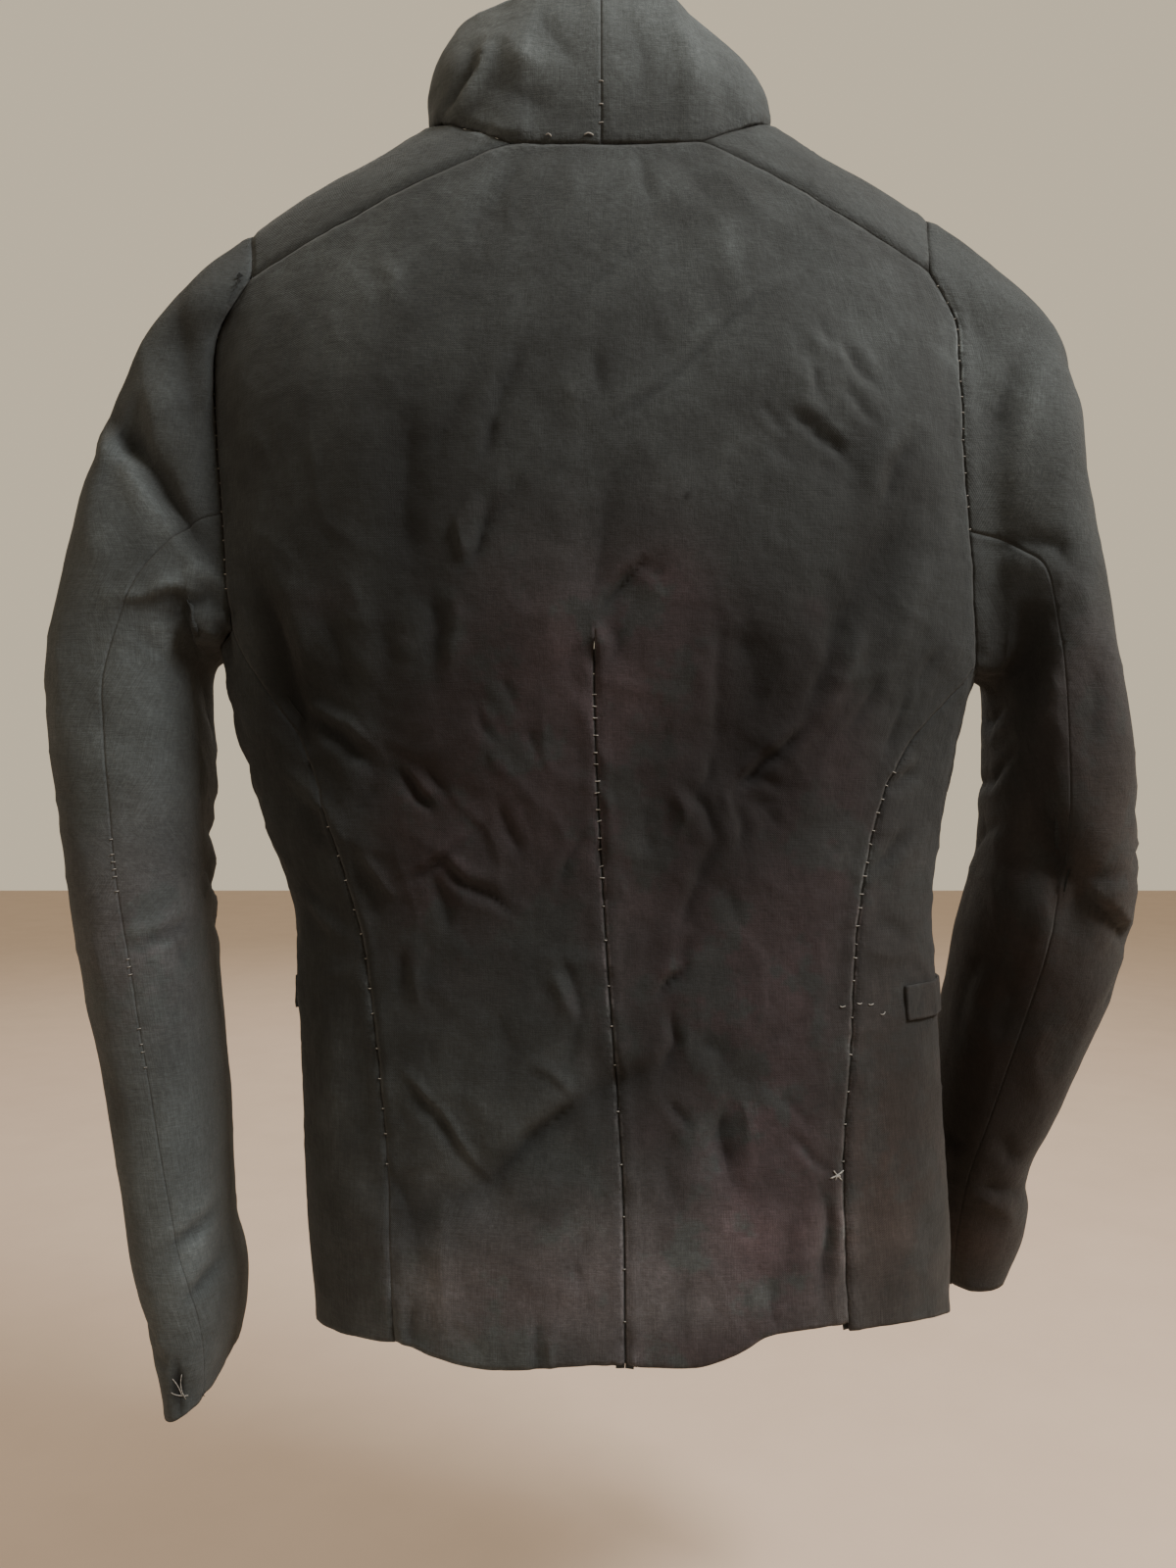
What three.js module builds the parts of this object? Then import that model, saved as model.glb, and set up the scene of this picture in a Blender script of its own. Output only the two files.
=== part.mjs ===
// A canvas blazer, filled out and hanging from its back neck.
// Millimetres, +Z up. The back faces +Y, the fronts face -Y, the wearer's left is +X.
// The origin is the middle of the back neck seam.
import * as THREE from 'three';

// Cloth and seams
const WALL = 1.8;
const SEAM_GAP = 0.3;
const LAYER_GAP = 0.4;
const OVERLAP_GAP = 1;

// Shape of the filled body: rounded sections, and a shoulder cap that curves over a ridge
const SECTION_ROUND = 2.3;
const CAP_ROUND = 2.2;
const CAP_HEIGHT = 200;

// Body sections: middle in x and y, half width, depth behind and in front of the middle
const bodyRows = [
  { z: 60, midX: 0, half: 232, midY: -52, back: 76, front: 66 },
  { z: -60, midX: 0, half: 230, midY: -54, back: 81, front: 82 },
  { z: -160, midX: 0, half: 228, midY: -58, back: 89, front: 92 },
  { z: -262, midX: -1, half: 224, midY: -60, back: 87, front: 96 },
  { z: -315, midX: 1, half: 213, midY: -62, back: 82, front: 92 },
  { z: -366, midX: -1, half: 201, midY: -62, back: 78, front: 88 },
  { z: -427, midX: -8, half: 188, midY: -62, back: 75, front: 85 },
  { z: -512, midX: -12, half: 188, midY: -62, back: 78, front: 86 },
  { z: -607, midX: -17, half: 189, midY: -62, back: 82, front: 90 },
  { z: -680, midX: -20, half: 186, midY: -62, back: 84, front: 92 },
];

// Height of the shoulder ridge over the distance from the middle
const ridgeRows = [
  { x: 0, z: 45 },
  { x: 60, z: 42 },
  { x: 95, z: 34 },
  { x: 130, z: 15 },
  { x: 165, z: -4 },
  { x: 200, z: -25 },
  { x: 240, z: -56 },
];

// The two sides of the garment: seams as distances from the middle, over height
const leftSide = {
  name: 'left',
  sign: 1,
  neck: { x: 50, z: 2 },
  shoulder: { x: 197, z: -64 },
  backArmhole: [
    { z: -64, x: 197 },
    { z: -85, x: 215 },
    { z: -110, x: 221 },
    { z: -158, x: 217 },
    { z: -211, x: 212 },
    { z: -262, x: 208 },
  ],
  backSeam: [
    { z: -262, x: 208 },
    { z: -285, x: 196 },
    { z: -315, x: 172 },
    { z: -345, x: 157 },
    { z: -384, x: 145 },
    { z: -436, x: 131 },
    { z: -508, x: 121 },
    { z: -550, x: 117 },
    { z: -665, x: 112 },
  ],
  underarm: { back: -262, middle: -272, front: -258 },
  backHem: -651,
  sideHem: -652,
  lapelEnd: -316,
};
const rightSide = {
  name: 'right',
  sign: -1,
  neck: { x: 55, z: 3 },
  shoulder: { x: 184, z: -62 },
  backArmhole: [
    { z: -62, x: 184 },
    { z: -80, x: 197 },
    { z: -105, x: 200 },
    { z: -158, x: 200.5 },
    { z: -211, x: 206 },
    { z: -281, x: 212 },
  ],
  backSeam: [
    { z: -281, x: 212 },
    { z: -293, x: 203 },
    { z: -319, x: 176 },
    { z: -341, x: 161 },
    { z: -370, x: 151 },
    { z: -425, x: 141 },
    { z: -494, x: 136 },
    { z: -565, x: 131 },
    { z: -665, x: 134 },
  ],
  underarm: { back: -281, middle: -286, front: -272 },
  backHem: -638,
  sideHem: -642,
  lapelEnd: -262,
};
const sides = [leftSide, rightSide];

// Hem of the back and its centre seam, which is a slit below its start
const hemRows = [
  { x: -134, z: -638 },
  { x: -92, z: -640 },
  { x: -70, z: -650 },
  { x: -48, z: -656 },
  { x: 0, z: -654 },
  { x: 61, z: -659 },
  { x: 112, z: -651 },
];
const centreRows = [
  { z: 0, x: 0 },
  { z: -160, x: 1 },
  { z: -283, x: 4 },
  { z: -425, x: -2 },
  { z: -503, x: -7.5 },
  { z: -580, x: -12 },
  { z: -654, x: -12.6 },
];
const CENTRE_SLIT_TOP = -283;

// Neck edge of a front over the way down from the shoulder seam (0) past the ridge,
// to the foot of the shoulder cap (1) and on, one unit for each 100 mm
const FRONT_UNIT = 100;
const FRONT_BREAK = -330;
const FRONT_HEM = -668;
const frontNeckRows = [
  { way: 0, share: 0 },
  { way: 0.14, share: 0.68 },
  { way: 0.28, share: 1 },
  { way: 0.5, share: 0.95 },
  { way: 0.8, share: 0.7 },
];
const NECK_SIDE = 99;
const OVERLAP = 18;
const frontArmholeRows = [
  { way: 0, in: 0 },
  { way: 0.28, in: -6 },
  { way: 0.5, in: -3 },
  { way: 0.8, in: 9 },
  { way: 1.0, in: 11 },
  { way: 1.27, in: 7 },
];
const ARMHOLE_WAY = 1.27;

// Large folds: lines in x and z, half width and depth (troughs are below zero), and the face
const foldRows = [
  { x0: -6, z0: -506, x1: 61, z1: -557, width: 12, depth: -5, face: 1 },
  { x0: 61, z0: -557, x1: 97, z1: -572, width: 11, depth: -4, face: 1 },
  { x0: 83, z0: -534, x1: 62, z1: -553, width: 8, depth: -3, face: 1 },
  { x0: -76, z0: -511, x1: -66, z1: -550, width: 9, depth: -4, face: 1 },
  { x0: -46, z0: -523, x1: -64, z1: -548, width: 8, depth: -3, face: 1 },
  { x0: -107, z0: -66, x1: -34, z1: -129, width: 15, depth: -3, face: 1 },
  { x0: -34, z0: -129, x1: 6, z1: -168, width: 13, depth: -2.5, face: 1 },
  { x0: -140, z0: -113, x1: -156, z1: -126, width: 9, depth: -3.5, face: 1 },
  { x0: -100, z0: -158, x1: -128, z1: -176, width: 9, depth: -3, face: 1 },
  { x0: 4, z0: -286, x1: -19, z1: -246, width: 10, depth: -5, face: 1 },
  { x0: 191, z0: -283, x1: 150, z1: -300, width: 12, depth: -4, face: 1 },
  { x0: 118, z0: -330, x1: 62, z1: -372, width: 14, depth: -4, face: 1 },
  { x0: -62, z0: -320, x1: -90, z1: -372, width: 14, depth: -4, face: 1 },
  { x0: 283, z0: -137, x1: 262, z1: -160, width: 12, depth: -5, face: 1 },
  { x0: 262, z0: -160, x1: 222, z1: -224, width: 12, depth: -8, face: 1 },
  { x0: 274, z0: -244, x1: 240, z1: -237, width: 11, depth: 4, face: 1 },
  { x0: -237, z0: -337, x1: -247, z1: -384, width: 11, depth: -6, face: 1 },
  { x0: -247, z0: -384, x1: -278, z1: -427, width: 12, depth: -8, face: 1 },
  { x0: -278, z0: -427, x1: -314, z1: -450, width: 12, depth: -6, face: 1 },
  { x0: 60, z0: -350, x1: 120, z1: -390, width: 14, depth: -4, face: -1 },
  { x0: -60, z0: -352, x1: -128, z1: -384, width: 14, depth: -4, face: -1 },
  { x0: 40, z0: -520, x1: 110, z1: -560, width: 13, depth: -4, face: -1 },
  { x0: -50, z0: -540, x1: -120, z1: -520, width: 13, depth: -4, face: -1 },
  { x0: 250, z0: -380, x1: 300, z1: -400, width: 12, depth: -5, face: -1 },
];

// Sleeve rings from the armhole down: outer and inner point, middle and half depth in y,
// how far the back of the ring hangs lower, and the angle of the back seam from the outer point
const leftSleeveRows = [
  { outX: 220, outZ: -43, inX: 227, inZ: -273, midY: -62, deep: 49, drop: 0, seam: 112 },
  { outX: 240, outZ: -57, inX: 229, inZ: -275, midY: -62, deep: 52, drop: 0, seam: 111 },
  { outX: 261, outZ: -79, inX: 231, inZ: -277, midY: -62, deep: 54, drop: 0, seam: 109 },
  { outX: 278, outZ: -110, inX: 233, inZ: -279, midY: -62, deep: 55, drop: 0, seam: 106 },
  { outX: 294, outZ: -152, inX: 234.5, inZ: -282, midY: -62, deep: 55, drop: 0, seam: 103 },
  { outX: 305, outZ: -195, inX: 235.5, inZ: -286, midY: -62, deep: 55, drop: 0, seam: 100 },
  { outX: 315, outZ: -238, inX: 236, inZ: -292, midY: -62, deep: 55, drop: 0, seam: 97 },
  { outX: 322, outZ: -275, inX: 235.5, inZ: -304, midY: -62, deep: 55, drop: 0, seam: 94 },
  { outX: 322, outZ: -310, inX: 234, inZ: -325, midY: -62, deep: 54, drop: 0, seam: 93 },
  { outX: 317, outZ: -348, inX: 234, inZ: -354, midY: -63, deep: 54, drop: 0, seam: 93 },
  { outX: 312, outZ: -384, inX: 235.5, inZ: -386, midY: -63, deep: 53, drop: 0, seam: 94 },
  { outX: 308, outZ: -418, inX: 235, inZ: -418, midY: -64, deep: 53, drop: 0, seam: 96 },
  { outX: 302, outZ: -452, inX: 233, inZ: -452, midY: -65, deep: 52, drop: 0, seam: 98 },
  { outX: 297, outZ: -487, inX: 230.5, inZ: -487, midY: -67, deep: 51, drop: 0, seam: 99 },
  { outX: 291, outZ: -522, inX: 228, inZ: -522, midY: -68, deep: 50, drop: 0, seam: 101 },
  { outX: 286.5, outZ: -556, inX: 226.5, inZ: -556, midY: -70, deep: 50, drop: 0, seam: 104 },
  { outX: 281.5, outZ: -590, inX: 225, inZ: -588, midY: -71, deep: 49, drop: 0, seam: 108 },
  { outX: 277, outZ: -622, inX: 223.5, inZ: -617, midY: -72, deep: 48, drop: 1, seam: 113 },
  { outX: 271.5, outZ: -646, inX: 219, inZ: -638, midY: -73, deep: 48, drop: 2, seam: 117 },
  { outX: 266, outZ: -668, inX: 218, inZ: -657, midY: -74, deep: 47, drop: 3, seam: 121 },
  { outX: 261, outZ: -689, inX: 219.5, inZ: -676, midY: -74, deep: 46, drop: 6, seam: 126 },
  { outX: 256, outZ: -709, inX: 224, inZ: -693, midY: -74, deep: 45, drop: 9, seam: 130 },
];
const rightSleeveRows = [
  { outX: 206, outZ: -29, inX: 228, inZ: -287, midY: -62, deep: 49, drop: 0, seam: 112 },
  { outX: 227, outZ: -42, inX: 230, inZ: -288, midY: -62, deep: 52, drop: 0, seam: 111 },
  { outX: 250, outZ: -58, inX: 232, inZ: -290, midY: -62, deep: 54, drop: 0, seam: 110 },
  { outX: 267, outZ: -81, inX: 233.5, inZ: -292, midY: -62, deep: 55, drop: 0, seam: 108 },
  { outX: 276, outZ: -118, inX: 234.5, inZ: -295, midY: -62, deep: 55, drop: 0, seam: 106 },
  { outX: 282, outZ: -166, inX: 235, inZ: -298, midY: -62, deep: 55, drop: 0, seam: 105 },
  { outX: 291, outZ: -211, inX: 235, inZ: -303, midY: -63, deep: 55, drop: 0, seam: 104 },
  { outX: 298, outZ: -252, inX: 235, inZ: -312, midY: -64, deep: 55, drop: 0, seam: 104 },
  { outX: 304, outZ: -290, inX: 235, inZ: -326, midY: -65, deep: 54, drop: 0, seam: 104 },
  { outX: 310, outZ: -325, inX: 233.5, inZ: -345, midY: -66, deep: 54, drop: 0, seam: 104 },
  { outX: 314, outZ: -356, inX: 233, inZ: -367, midY: -68, deep: 54, drop: 0, seam: 104 },
  { outX: 316.5, outZ: -386, inX: 231, inZ: -390, midY: -72, deep: 54, drop: 0, seam: 104 },
  { outX: 319.5, outZ: -414, inX: 227, inZ: -412, midY: -77, deep: 53, drop: 1, seam: 104 },
  { outX: 319, outZ: -441, inX: 223, inZ: -434, midY: -83, deep: 52, drop: 2, seam: 104 },
  { outX: 313, outZ: -470, inX: 220, inZ: -460, midY: -90, deep: 51, drop: 3, seam: 105 },
  { outX: 303, outZ: -500, inX: 217, inZ: -488, midY: -98, deep: 50, drop: 4, seam: 106 },
  { outX: 293, outZ: -531, inX: 214, inZ: -518, midY: -107, deep: 49, drop: 5, seam: 108 },
  { outX: 283, outZ: -562, inX: 211, inZ: -550, midY: -117, deep: 48, drop: 6, seam: 110 },
  { outX: 275, outZ: -588, inX: 209, inZ: -580, midY: -126, deep: 46, drop: 6, seam: 113 },
  { outX: 277, outZ: -614, inX: 209, inZ: -608, midY: -135, deep: 45, drop: 6, seam: 117 },
  { outX: 277, outZ: -638, inX: 211, inZ: -634, midY: -143, deep: 44, drop: 7, seam: 121 },
  { outX: 268, outZ: -660, inX: 217, inZ: -660, midY: -150, deep: 42, drop: 11, seam: 126 },
];
const FRONT_SLEEVE_SEAM = -118;
const BLEND_RINGS = 6;

// Collar: height and outward lean of its top edge, from the centre back (0) to the front (1)
const leftCollarRows = [
  { share: 0, high: 96, lean: -10 },
  { share: 0.1, high: 95, lean: -11 },
  { share: 0.2, high: 88, lean: -18 },
  { share: 0.28, high: 79, lean: -27 },
  { share: 0.5, high: 60, lean: -12 },
  { share: 0.75, high: 63, lean: 0 },
  { share: 1, high: 58, lean: 8 },
];
const rightCollarRows = [
  { share: 0, high: 96, lean: -10 },
  { share: 0.1, high: 95, lean: -12 },
  { share: 0.2, high: 89, lean: -22 },
  { share: 0.28, high: 80, lean: -34 },
  { share: 0.5, high: 57, lean: -55 },
  { share: 0.75, high: 59, lean: -32 },
  { share: 1, high: 56, lean: -2 },
];

// Grid counts
const ARMHOLE_BACK_STEPS = 9;
const UNDERARM_STEPS = 6;
const ARMHOLE_FRONT_STEPS = 11;
const SHOULDER_STEPS = 9;
const HALF_NECK_STEPS = 4;
const BODY_STEPS = 18;
const FRONT_STEPS = SHOULDER_STEPS;
const BACK_SLEEVE_SEAM_STEP = 6;
const FRONT_SLEEVE_SEAM_STEP = 18;
const COLLAR_STEPS = 5;

// Pocket welts, vents, lapels and buttons
const welt = { top: -461, high: 19, steps: 12, left: [86, 154], right: [56, 138] };
const vent = { top: -560, columns: 4 };
const lapel = { wide: 72, steps: 4, firstRow: 5 };
const button = { radius: 10, thick: 3.6, rim: 1.6, dish: 1.1, sides: 24, first: -345, pitch: 95, count: 3 };

// A smooth curve through a table's rows, by one column, giving another
function smoothColumn(rows, by, key) {
  const sorted = [...rows].sort((a, b) => a[by] - b[by]);
  const last = sorted.length - 1;
  const step = (i) => (sorted[i + 1][key] - sorted[i][key]) / (sorted[i + 1][by] - sorted[i][by]);
  const slope = sorted.map((row, i) => {
    if (i === 0) return step(0);
    if (i === last) return step(last - 1);
    const before = step(i - 1);
    const after = step(i);
    return before * after <= 0 ? 0 : (2 * before * after) / (before + after);
  });
  return (at) => {
    if (at <= sorted[0][by]) return sorted[0][key];
    if (at >= sorted[last][by]) return sorted[last][key];
    let i = 0;
    while (at > sorted[i + 1][by]) i += 1;
    const span = sorted[i + 1][by] - sorted[i][by];
    const t = (at - sorted[i][by]) / span;
    const rise = t * t * (3 - 2 * t);
    return (
      sorted[i][key] * (1 - rise) +
      sorted[i + 1][key] * rise +
      span * (slope[i] * t * (1 - t) * (1 - t) - slope[i + 1] * t * t * (1 - t))
    );
  };
}

const lerp = THREE.MathUtils.lerp;
const clamp = THREE.MathUtils.clamp;
const smooth = (t) => THREE.MathUtils.smoothstep(t, 0, 1);
const shape = (value, round) => Math.sign(value) * Math.abs(value) ** (2 / round);

const midX = smoothColumn(bodyRows, 'z', 'midX');
const midY = smoothColumn(bodyRows, 'z', 'midY');
const half = smoothColumn(bodyRows, 'z', 'half');
const backDepth = smoothColumn(bodyRows, 'z', 'back');
const frontDepth = smoothColumn(bodyRows, 'z', 'front');
const ridgeAt = smoothColumn(ridgeRows, 'x', 'z');
const ridge = (x) => ridgeAt(Math.abs(x));

// How far the shoulder cap has come out from its ridge at this place
function capRise(x, z) {
  const down = clamp((ridge(x) - z) / CAP_HEIGHT, 0, 1);
  return (1 - (1 - down) ** CAP_ROUND) ** (1 / CAP_ROUND);
}

// The body at an angle from the centre back, 90 degrees at the side, on one side's sign
function around(sign, angle, z) {
  const x = midX(z) + sign * half(z) * shape(Math.sin(angle), SECTION_ROUND);
  const facing = Math.cos(angle);
  const depth = facing > 0 ? backDepth(z) : frontDepth(z);
  return new THREE.Vector3(x, midY(z) + depth * shape(facing, SECTION_ROUND) * capRise(x, z), z);
}

function angleAt(x, z) {
  const across = clamp(Math.abs(x - midX(z)) / half(z), 0, 1);
  return Math.asin(across ** (SECTION_ROUND / 2));
}

// The face of the body at a place: back is 1, front is -1
function facePoint(x, z, face) {
  const angle = angleAt(x, z);
  return around(Math.sign(x - midX(z)) || 1, face > 0 ? angle : Math.PI - angle, z);
}

// A front, by x and the way down from the shoulder seam over the ridge
function seamAngle(x) {
  const side = x > 0 ? leftSide : rightSide;
  const along = (Math.abs(x) - side.neck.x) / (side.shoulder.x - side.neck.x);
  const z = lerp(side.neck.z, side.shoulder.z, clamp(along, 0, 1));
  const down = clamp((ridge(x) - z) / CAP_HEIGHT, 0, 1);
  return Math.acos((1 - down) ** (CAP_ROUND / 2));
}

function frontPoint(x, way) {
  if (way >= 1) return facePoint(x, ridge(x) - CAP_HEIGHT - (way - 1) * FRONT_UNIT, -1);
  const turn = lerp(seamAngle(x), -Math.PI / 2, way);
  const z = ridge(x) - CAP_HEIGHT * (1 - Math.cos(turn) ** (2 / CAP_ROUND));
  const across = shape(Math.cos(angleAt(x, z)), SECTION_ROUND);
  const depth = turn > 0 ? backDepth(z) : frontDepth(z);
  return new THREE.Vector3(x, midY(z) + depth * across * shape(Math.sin(turn), CAP_ROUND), z);
}

const wayAt = (x, z) => 1 + (ridge(x) - CAP_HEIGHT - z) / FRONT_UNIT;

// A point and its outward direction, from any surface function of two values
const NUDGE = 0.01;
function surfacePoint(surface, u, v) {
  const point = surface(u, v);
  const alongU = surface(u + NUDGE, v).sub(surface(u - NUDGE, v));
  const alongV = surface(u, v + NUDGE).sub(surface(u, v - NUDGE));
  const out = alongU.cross(alongV).normalize();
  const heart = new THREE.Vector3(point.x * 0.55, midY(point.z), Math.min(point.z, -130));
  if (out.dot(point.clone().sub(heart)) < 0) out.negate();
  return { point, out };
}

const onBack = (x, z) => surfacePoint((u, v) => facePoint(u, v, 1), x, z);
const onFront = (x, way) => surfacePoint((u, v) => frontPoint(u, v / 10), x, way * 10);
const onSide = (sign) => (angle, z) =>
  surfacePoint((u, v) => around(sign, u / 100, v), angle * 100, z);

// Depth of the large folds at a place
function foldDepth(point, face) {
  let depth = 0;
  for (const fold of foldRows) {
    if (fold.face !== face) continue;
    const dx = fold.x1 - fold.x0;
    const dz = fold.z1 - fold.z0;
    const along = clamp(((point.x - fold.x0) * dx + (point.z - fold.z0) * dz) / (dx * dx + dz * dz), 0, 1);
    const off = Math.hypot(point.x - fold.x0 - along * dx, point.z - fold.z0 - along * dz);
    depth += fold.depth * Math.exp(-((off / fold.width) ** 2));
  }
  return depth;
}

function folded({ point, out }) {
  const share = smooth(Math.abs(out.y) * 1.6);
  return { point: point.clone().addScaledVector(out, share * foldDepth(point, Math.sign(out.y))), out };
}

function moved({ point, out }, distance) {
  return { point: point.clone().addScaledVector(out, distance), out };
}

// A patch of surface points between four edges, each a list of pairs of values
function blendEdges(top, bottom, start, end) {
  const rows = start.length - 1;
  const columns = top.length - 1;
  const mix = (a, b, t) => a.map((value, k) => lerp(value, b[k], t));
  return start.map((from, i) => {
    const v = i / rows;
    return top.map((_, j) => {
      const u = j / columns;
      const acrossPart = mix(from, end[i], u);
      const downPart = mix(top[j], bottom[j], v);
      const corners = mix(mix(top[0], top[columns], u), mix(bottom[0], bottom[columns], u), v);
      return acrossPart.map((value, k) => value + downPart[k] - corners[k]);
    });
  });
}

// A closed wall of cloth. Each patch is a grid of surface points; patches that share
// entries are joined there, and every open edge is closed across the thickness.
function clothWall(patches, thickness = WALL) {
  const entries = new Map();
  const quads = [];
  const index = (entry) => {
    if (!entries.has(entry)) entries.set(entry, entries.size);
    return entries.get(entry);
  };
  for (const grid of patches) {
    for (let i = 0; i + 1 < grid.length; i += 1) {
      for (let j = 0; j + 1 < grid[i].length; j += 1) {
        quads.push([grid[i][j], grid[i + 1][j], grid[i + 1][j + 1], grid[i][j + 1]].map(index));
      }
    }
  }
  const outer = [...entries.keys()];
  const facing = quads.reduce((sum, [a, b, c]) => {
    const ab = outer[b].point.clone().sub(outer[a].point);
    const ac = outer[c].point.clone().sub(outer[a].point);
    return sum + Math.sign(ab.cross(ac).dot(outer[a].out));
  }, 0);
  if (facing < 0) quads.forEach((quad) => quad.reverse());

  const positions = [];
  outer.forEach(({ point }) => positions.push(...point));
  outer.forEach(({ point, out, reach = 1 }) => {
    positions.push(...point.clone().addScaledVector(out, -thickness * reach));
  });
  const count = outer.length;
  const open = new Map();
  for (const quad of quads) {
    quad.forEach((a, k) => {
      const b = quad[(k + 1) % 4];
      if (!open.delete(`${b} ${a}`)) open.set(`${a} ${b}`, [a, b]);
    });
  }
  const faces = [];
  for (const [a, b, c, d] of quads) {
    faces.push(a, b, c, a, c, d);
    faces.push(c + count, b + count, a + count, d + count, c + count, a + count);
  }
  const corner = (k) => new THREE.Vector3().fromArray(positions, 3 * k);
  for (const [a, b] of open.values()) {
    const [c, d] = [a + count, b + count];
    const shorter = corner(a).distanceTo(corner(d)) < corner(b).distanceTo(corner(c));
    faces.push(...(shorter ? [b, a, d, a, c, d] : [b, a, c, b, c, d]));
  }

  const geometry = new THREE.BufferGeometry();
  geometry.setAttribute('position', new THREE.Float32BufferAttribute(positions, 3));
  geometry.setIndex(faces);
  geometry.computeVertexNormals();
  return geometry;
}

// Materials
const canvas = new THREE.MeshStandardMaterial({ color: 0x2b2a2b, roughness: 0.92, metalness: 0 });
const canvasWorn = new THREE.MeshStandardMaterial({ color: 0x343333, roughness: 0.94, metalness: 0 });
const horn = new THREE.MeshStandardMaterial({ color: 0x1c1a19, roughness: 0.45, metalness: 0 });

const blazer = new THREE.Group();
function add(name, geometry, material) {
  const mesh = new THREE.Mesh(geometry, material);
  mesh.name = name;
  blazer.add(mesh);
  return mesh;
}

const steps = (count, pick) => Array.from({ length: count + 1 }, (_, i) => pick(i / count, i));

// Seam lines of one side, as lists of pairs of values
function seamLines(side) {
  const armX = smoothColumn(side.backArmhole, 'z', 'x');
  const seamX = smoothColumn(side.backSeam, 'z', 'x');
  const armIn = smoothColumn(frontArmholeRows, 'way', 'in');
  const backAngle = (z) => angleAt(side.sign * seamX(z), z);
  const frontShare = (z) => lerp(0.85, 0.79, clamp((side.underarm.front - z) / 160, 0, 1));
  const frontAngle = (z) => Math.PI - Math.asin(frontShare(z) ** (SECTION_ROUND / 2));
  const frontX = (z) => midX(z) + side.sign * half(z) * frontShare(z);
  return { armX, seamX, armIn, backAngle, frontAngle, frontX };
}

// The armhole loop: down the back, under the arm, up the front and over the ridge
function armholeLoop(side) {
  const lines = seamLines(side);
  const { sign, shoulder, underarm } = side;
  const backPart = steps(ARMHOLE_BACK_STEPS, (t) => {
    const z = lerp(shoulder.z, underarm.back, t);
    return onBack(sign * lines.armX(z), z);
  });
  const bottomAngles = [lines.backAngle(underarm.back), lines.frontAngle(underarm.front)];
  const bottomPart = steps(UNDERARM_STEPS, (t) => onSide(sign)(lerp(...bottomAngles, t), underarmZ(side, t)));
  const frontPart = steps(ARMHOLE_FRONT_STEPS, (t) => {
    const [x, way] = frontArmholePlace(side, lines, 1 - t);
    return onFront(x, way);
  });
  return [...backPart.slice(0, -1), ...bottomPart.slice(0, -1), ...frontPart.slice(0, -1)];
}

function underarmZ(side, t) {
  const { back, middle, front } = side.underarm;
  const chord = lerp(back, front, t);
  return chord + (middle - (back + front) / 2) * 4 * t * (1 - t);
}

// The front armhole from the shoulder seam (0) to the front side seam (1)
function frontArmholePlace(side, lines, t) {
  const seamX = lines.frontX(side.underarm.front);
  const lastWay = wayAt(seamX, side.underarm.front);
  const way = lastWay * t;
  const plain = side.sign * (side.shoulder.x - lines.armIn((way / lastWay) * ARMHOLE_WAY));
  const join = smooth((t - 0.7) / 0.3);
  return [lerp(plain, seamX, join), way];
}

// Sleeve rings as points: the first keep the armhole's outline, the rest are rounded
function sleeveGrid(side, rows, loop) {
  const total = loop.length;
  const box = new THREE.Box3().setFromPoints(loop.map((entry) => entry.point));
  const middle = box.getCenter(new THREE.Vector3());
  const reach = box.getSize(new THREE.Vector3()).multiplyScalar(0.5);
  const topSteps = BACK_SLEEVE_SEAM_STEP + total - FRONT_SLEEVE_SEAM_STEP;
  const order = Array.from({ length: total + 1 }, (_, c) => (BACK_SLEEVE_SEAM_STEP - c + 2 * total) % total);
  const outline = order.map((k) => ({
    up: (loop[k].point.z - middle.z) / reach.z,
    back: (loop[k].point.y - middle.y) / reach.y,
  }));
  const front = THREE.MathUtils.degToRad(FRONT_SLEEVE_SEAM);
  const rings = rows.map((row, r) => {
    const outer = new THREE.Vector3(side.sign * row.outX, row.midY, row.outZ);
    const inner = new THREE.Vector3(side.sign * row.inX, row.midY, row.inZ);
    const centre = outer.clone().add(inner).multiplyScalar(0.5);
    const arm = outer.clone().sub(centre);
    const back = THREE.MathUtils.degToRad(row.seam);
    const settle = smooth((r + 1) / BLEND_RINGS);
    return outline.map((place, c) => {
      const angle =
        c <= topSteps
          ? lerp(back, front, c / topSteps)
          : lerp(front, back - 2 * Math.PI, (c - topSteps) / (total - topSteps));
      const up = lerp(place.up, shape(Math.cos(angle), SECTION_ROUND), settle);
      const behind = lerp(place.back, shape(Math.sin(angle), SECTION_ROUND), settle);
      const point = centre.clone().addScaledVector(arm, up);
      point.y += row.deep * behind;
      point.z -= row.drop * Math.max(0, behind);
      return { point, centre };
    });
  });
  return { rings, order, topSteps };
}

// Outward directions of a closed grid from its own points, and the folds pressed in
function dressRings(rings) {
  const columns = rings[0].length - 1;
  const wrapped = (j) => (j + columns) % columns;
  const outs = rings.map((ring, i) =>
    ring.map(({ point, centre }, j) => {
      const up = rings[Math.max(i - 1, 0)][j].point;
      const down = rings[Math.min(i + 1, rings.length - 1)][j].point;
      const before = ring[wrapped(j - 1)].point;
      const after = ring[wrapped(j + 1)].point;
      const out = down.clone().sub(up).cross(after.clone().sub(before)).normalize();
      if (out.dot(point.clone().sub(centre)) < 0) out.negate();
      return out;
    }),
  );
  return rings.map((ring, i) =>
    ring.map(({ point }, j) => {
      const share = smooth(i / 3);
      const bare = { point, out: outs[i][j] };
      const pressed = folded(bare).point;
      return { point: point.clone().lerp(pressed, share), out: outs[i][j] };
    }),
  );
}

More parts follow.
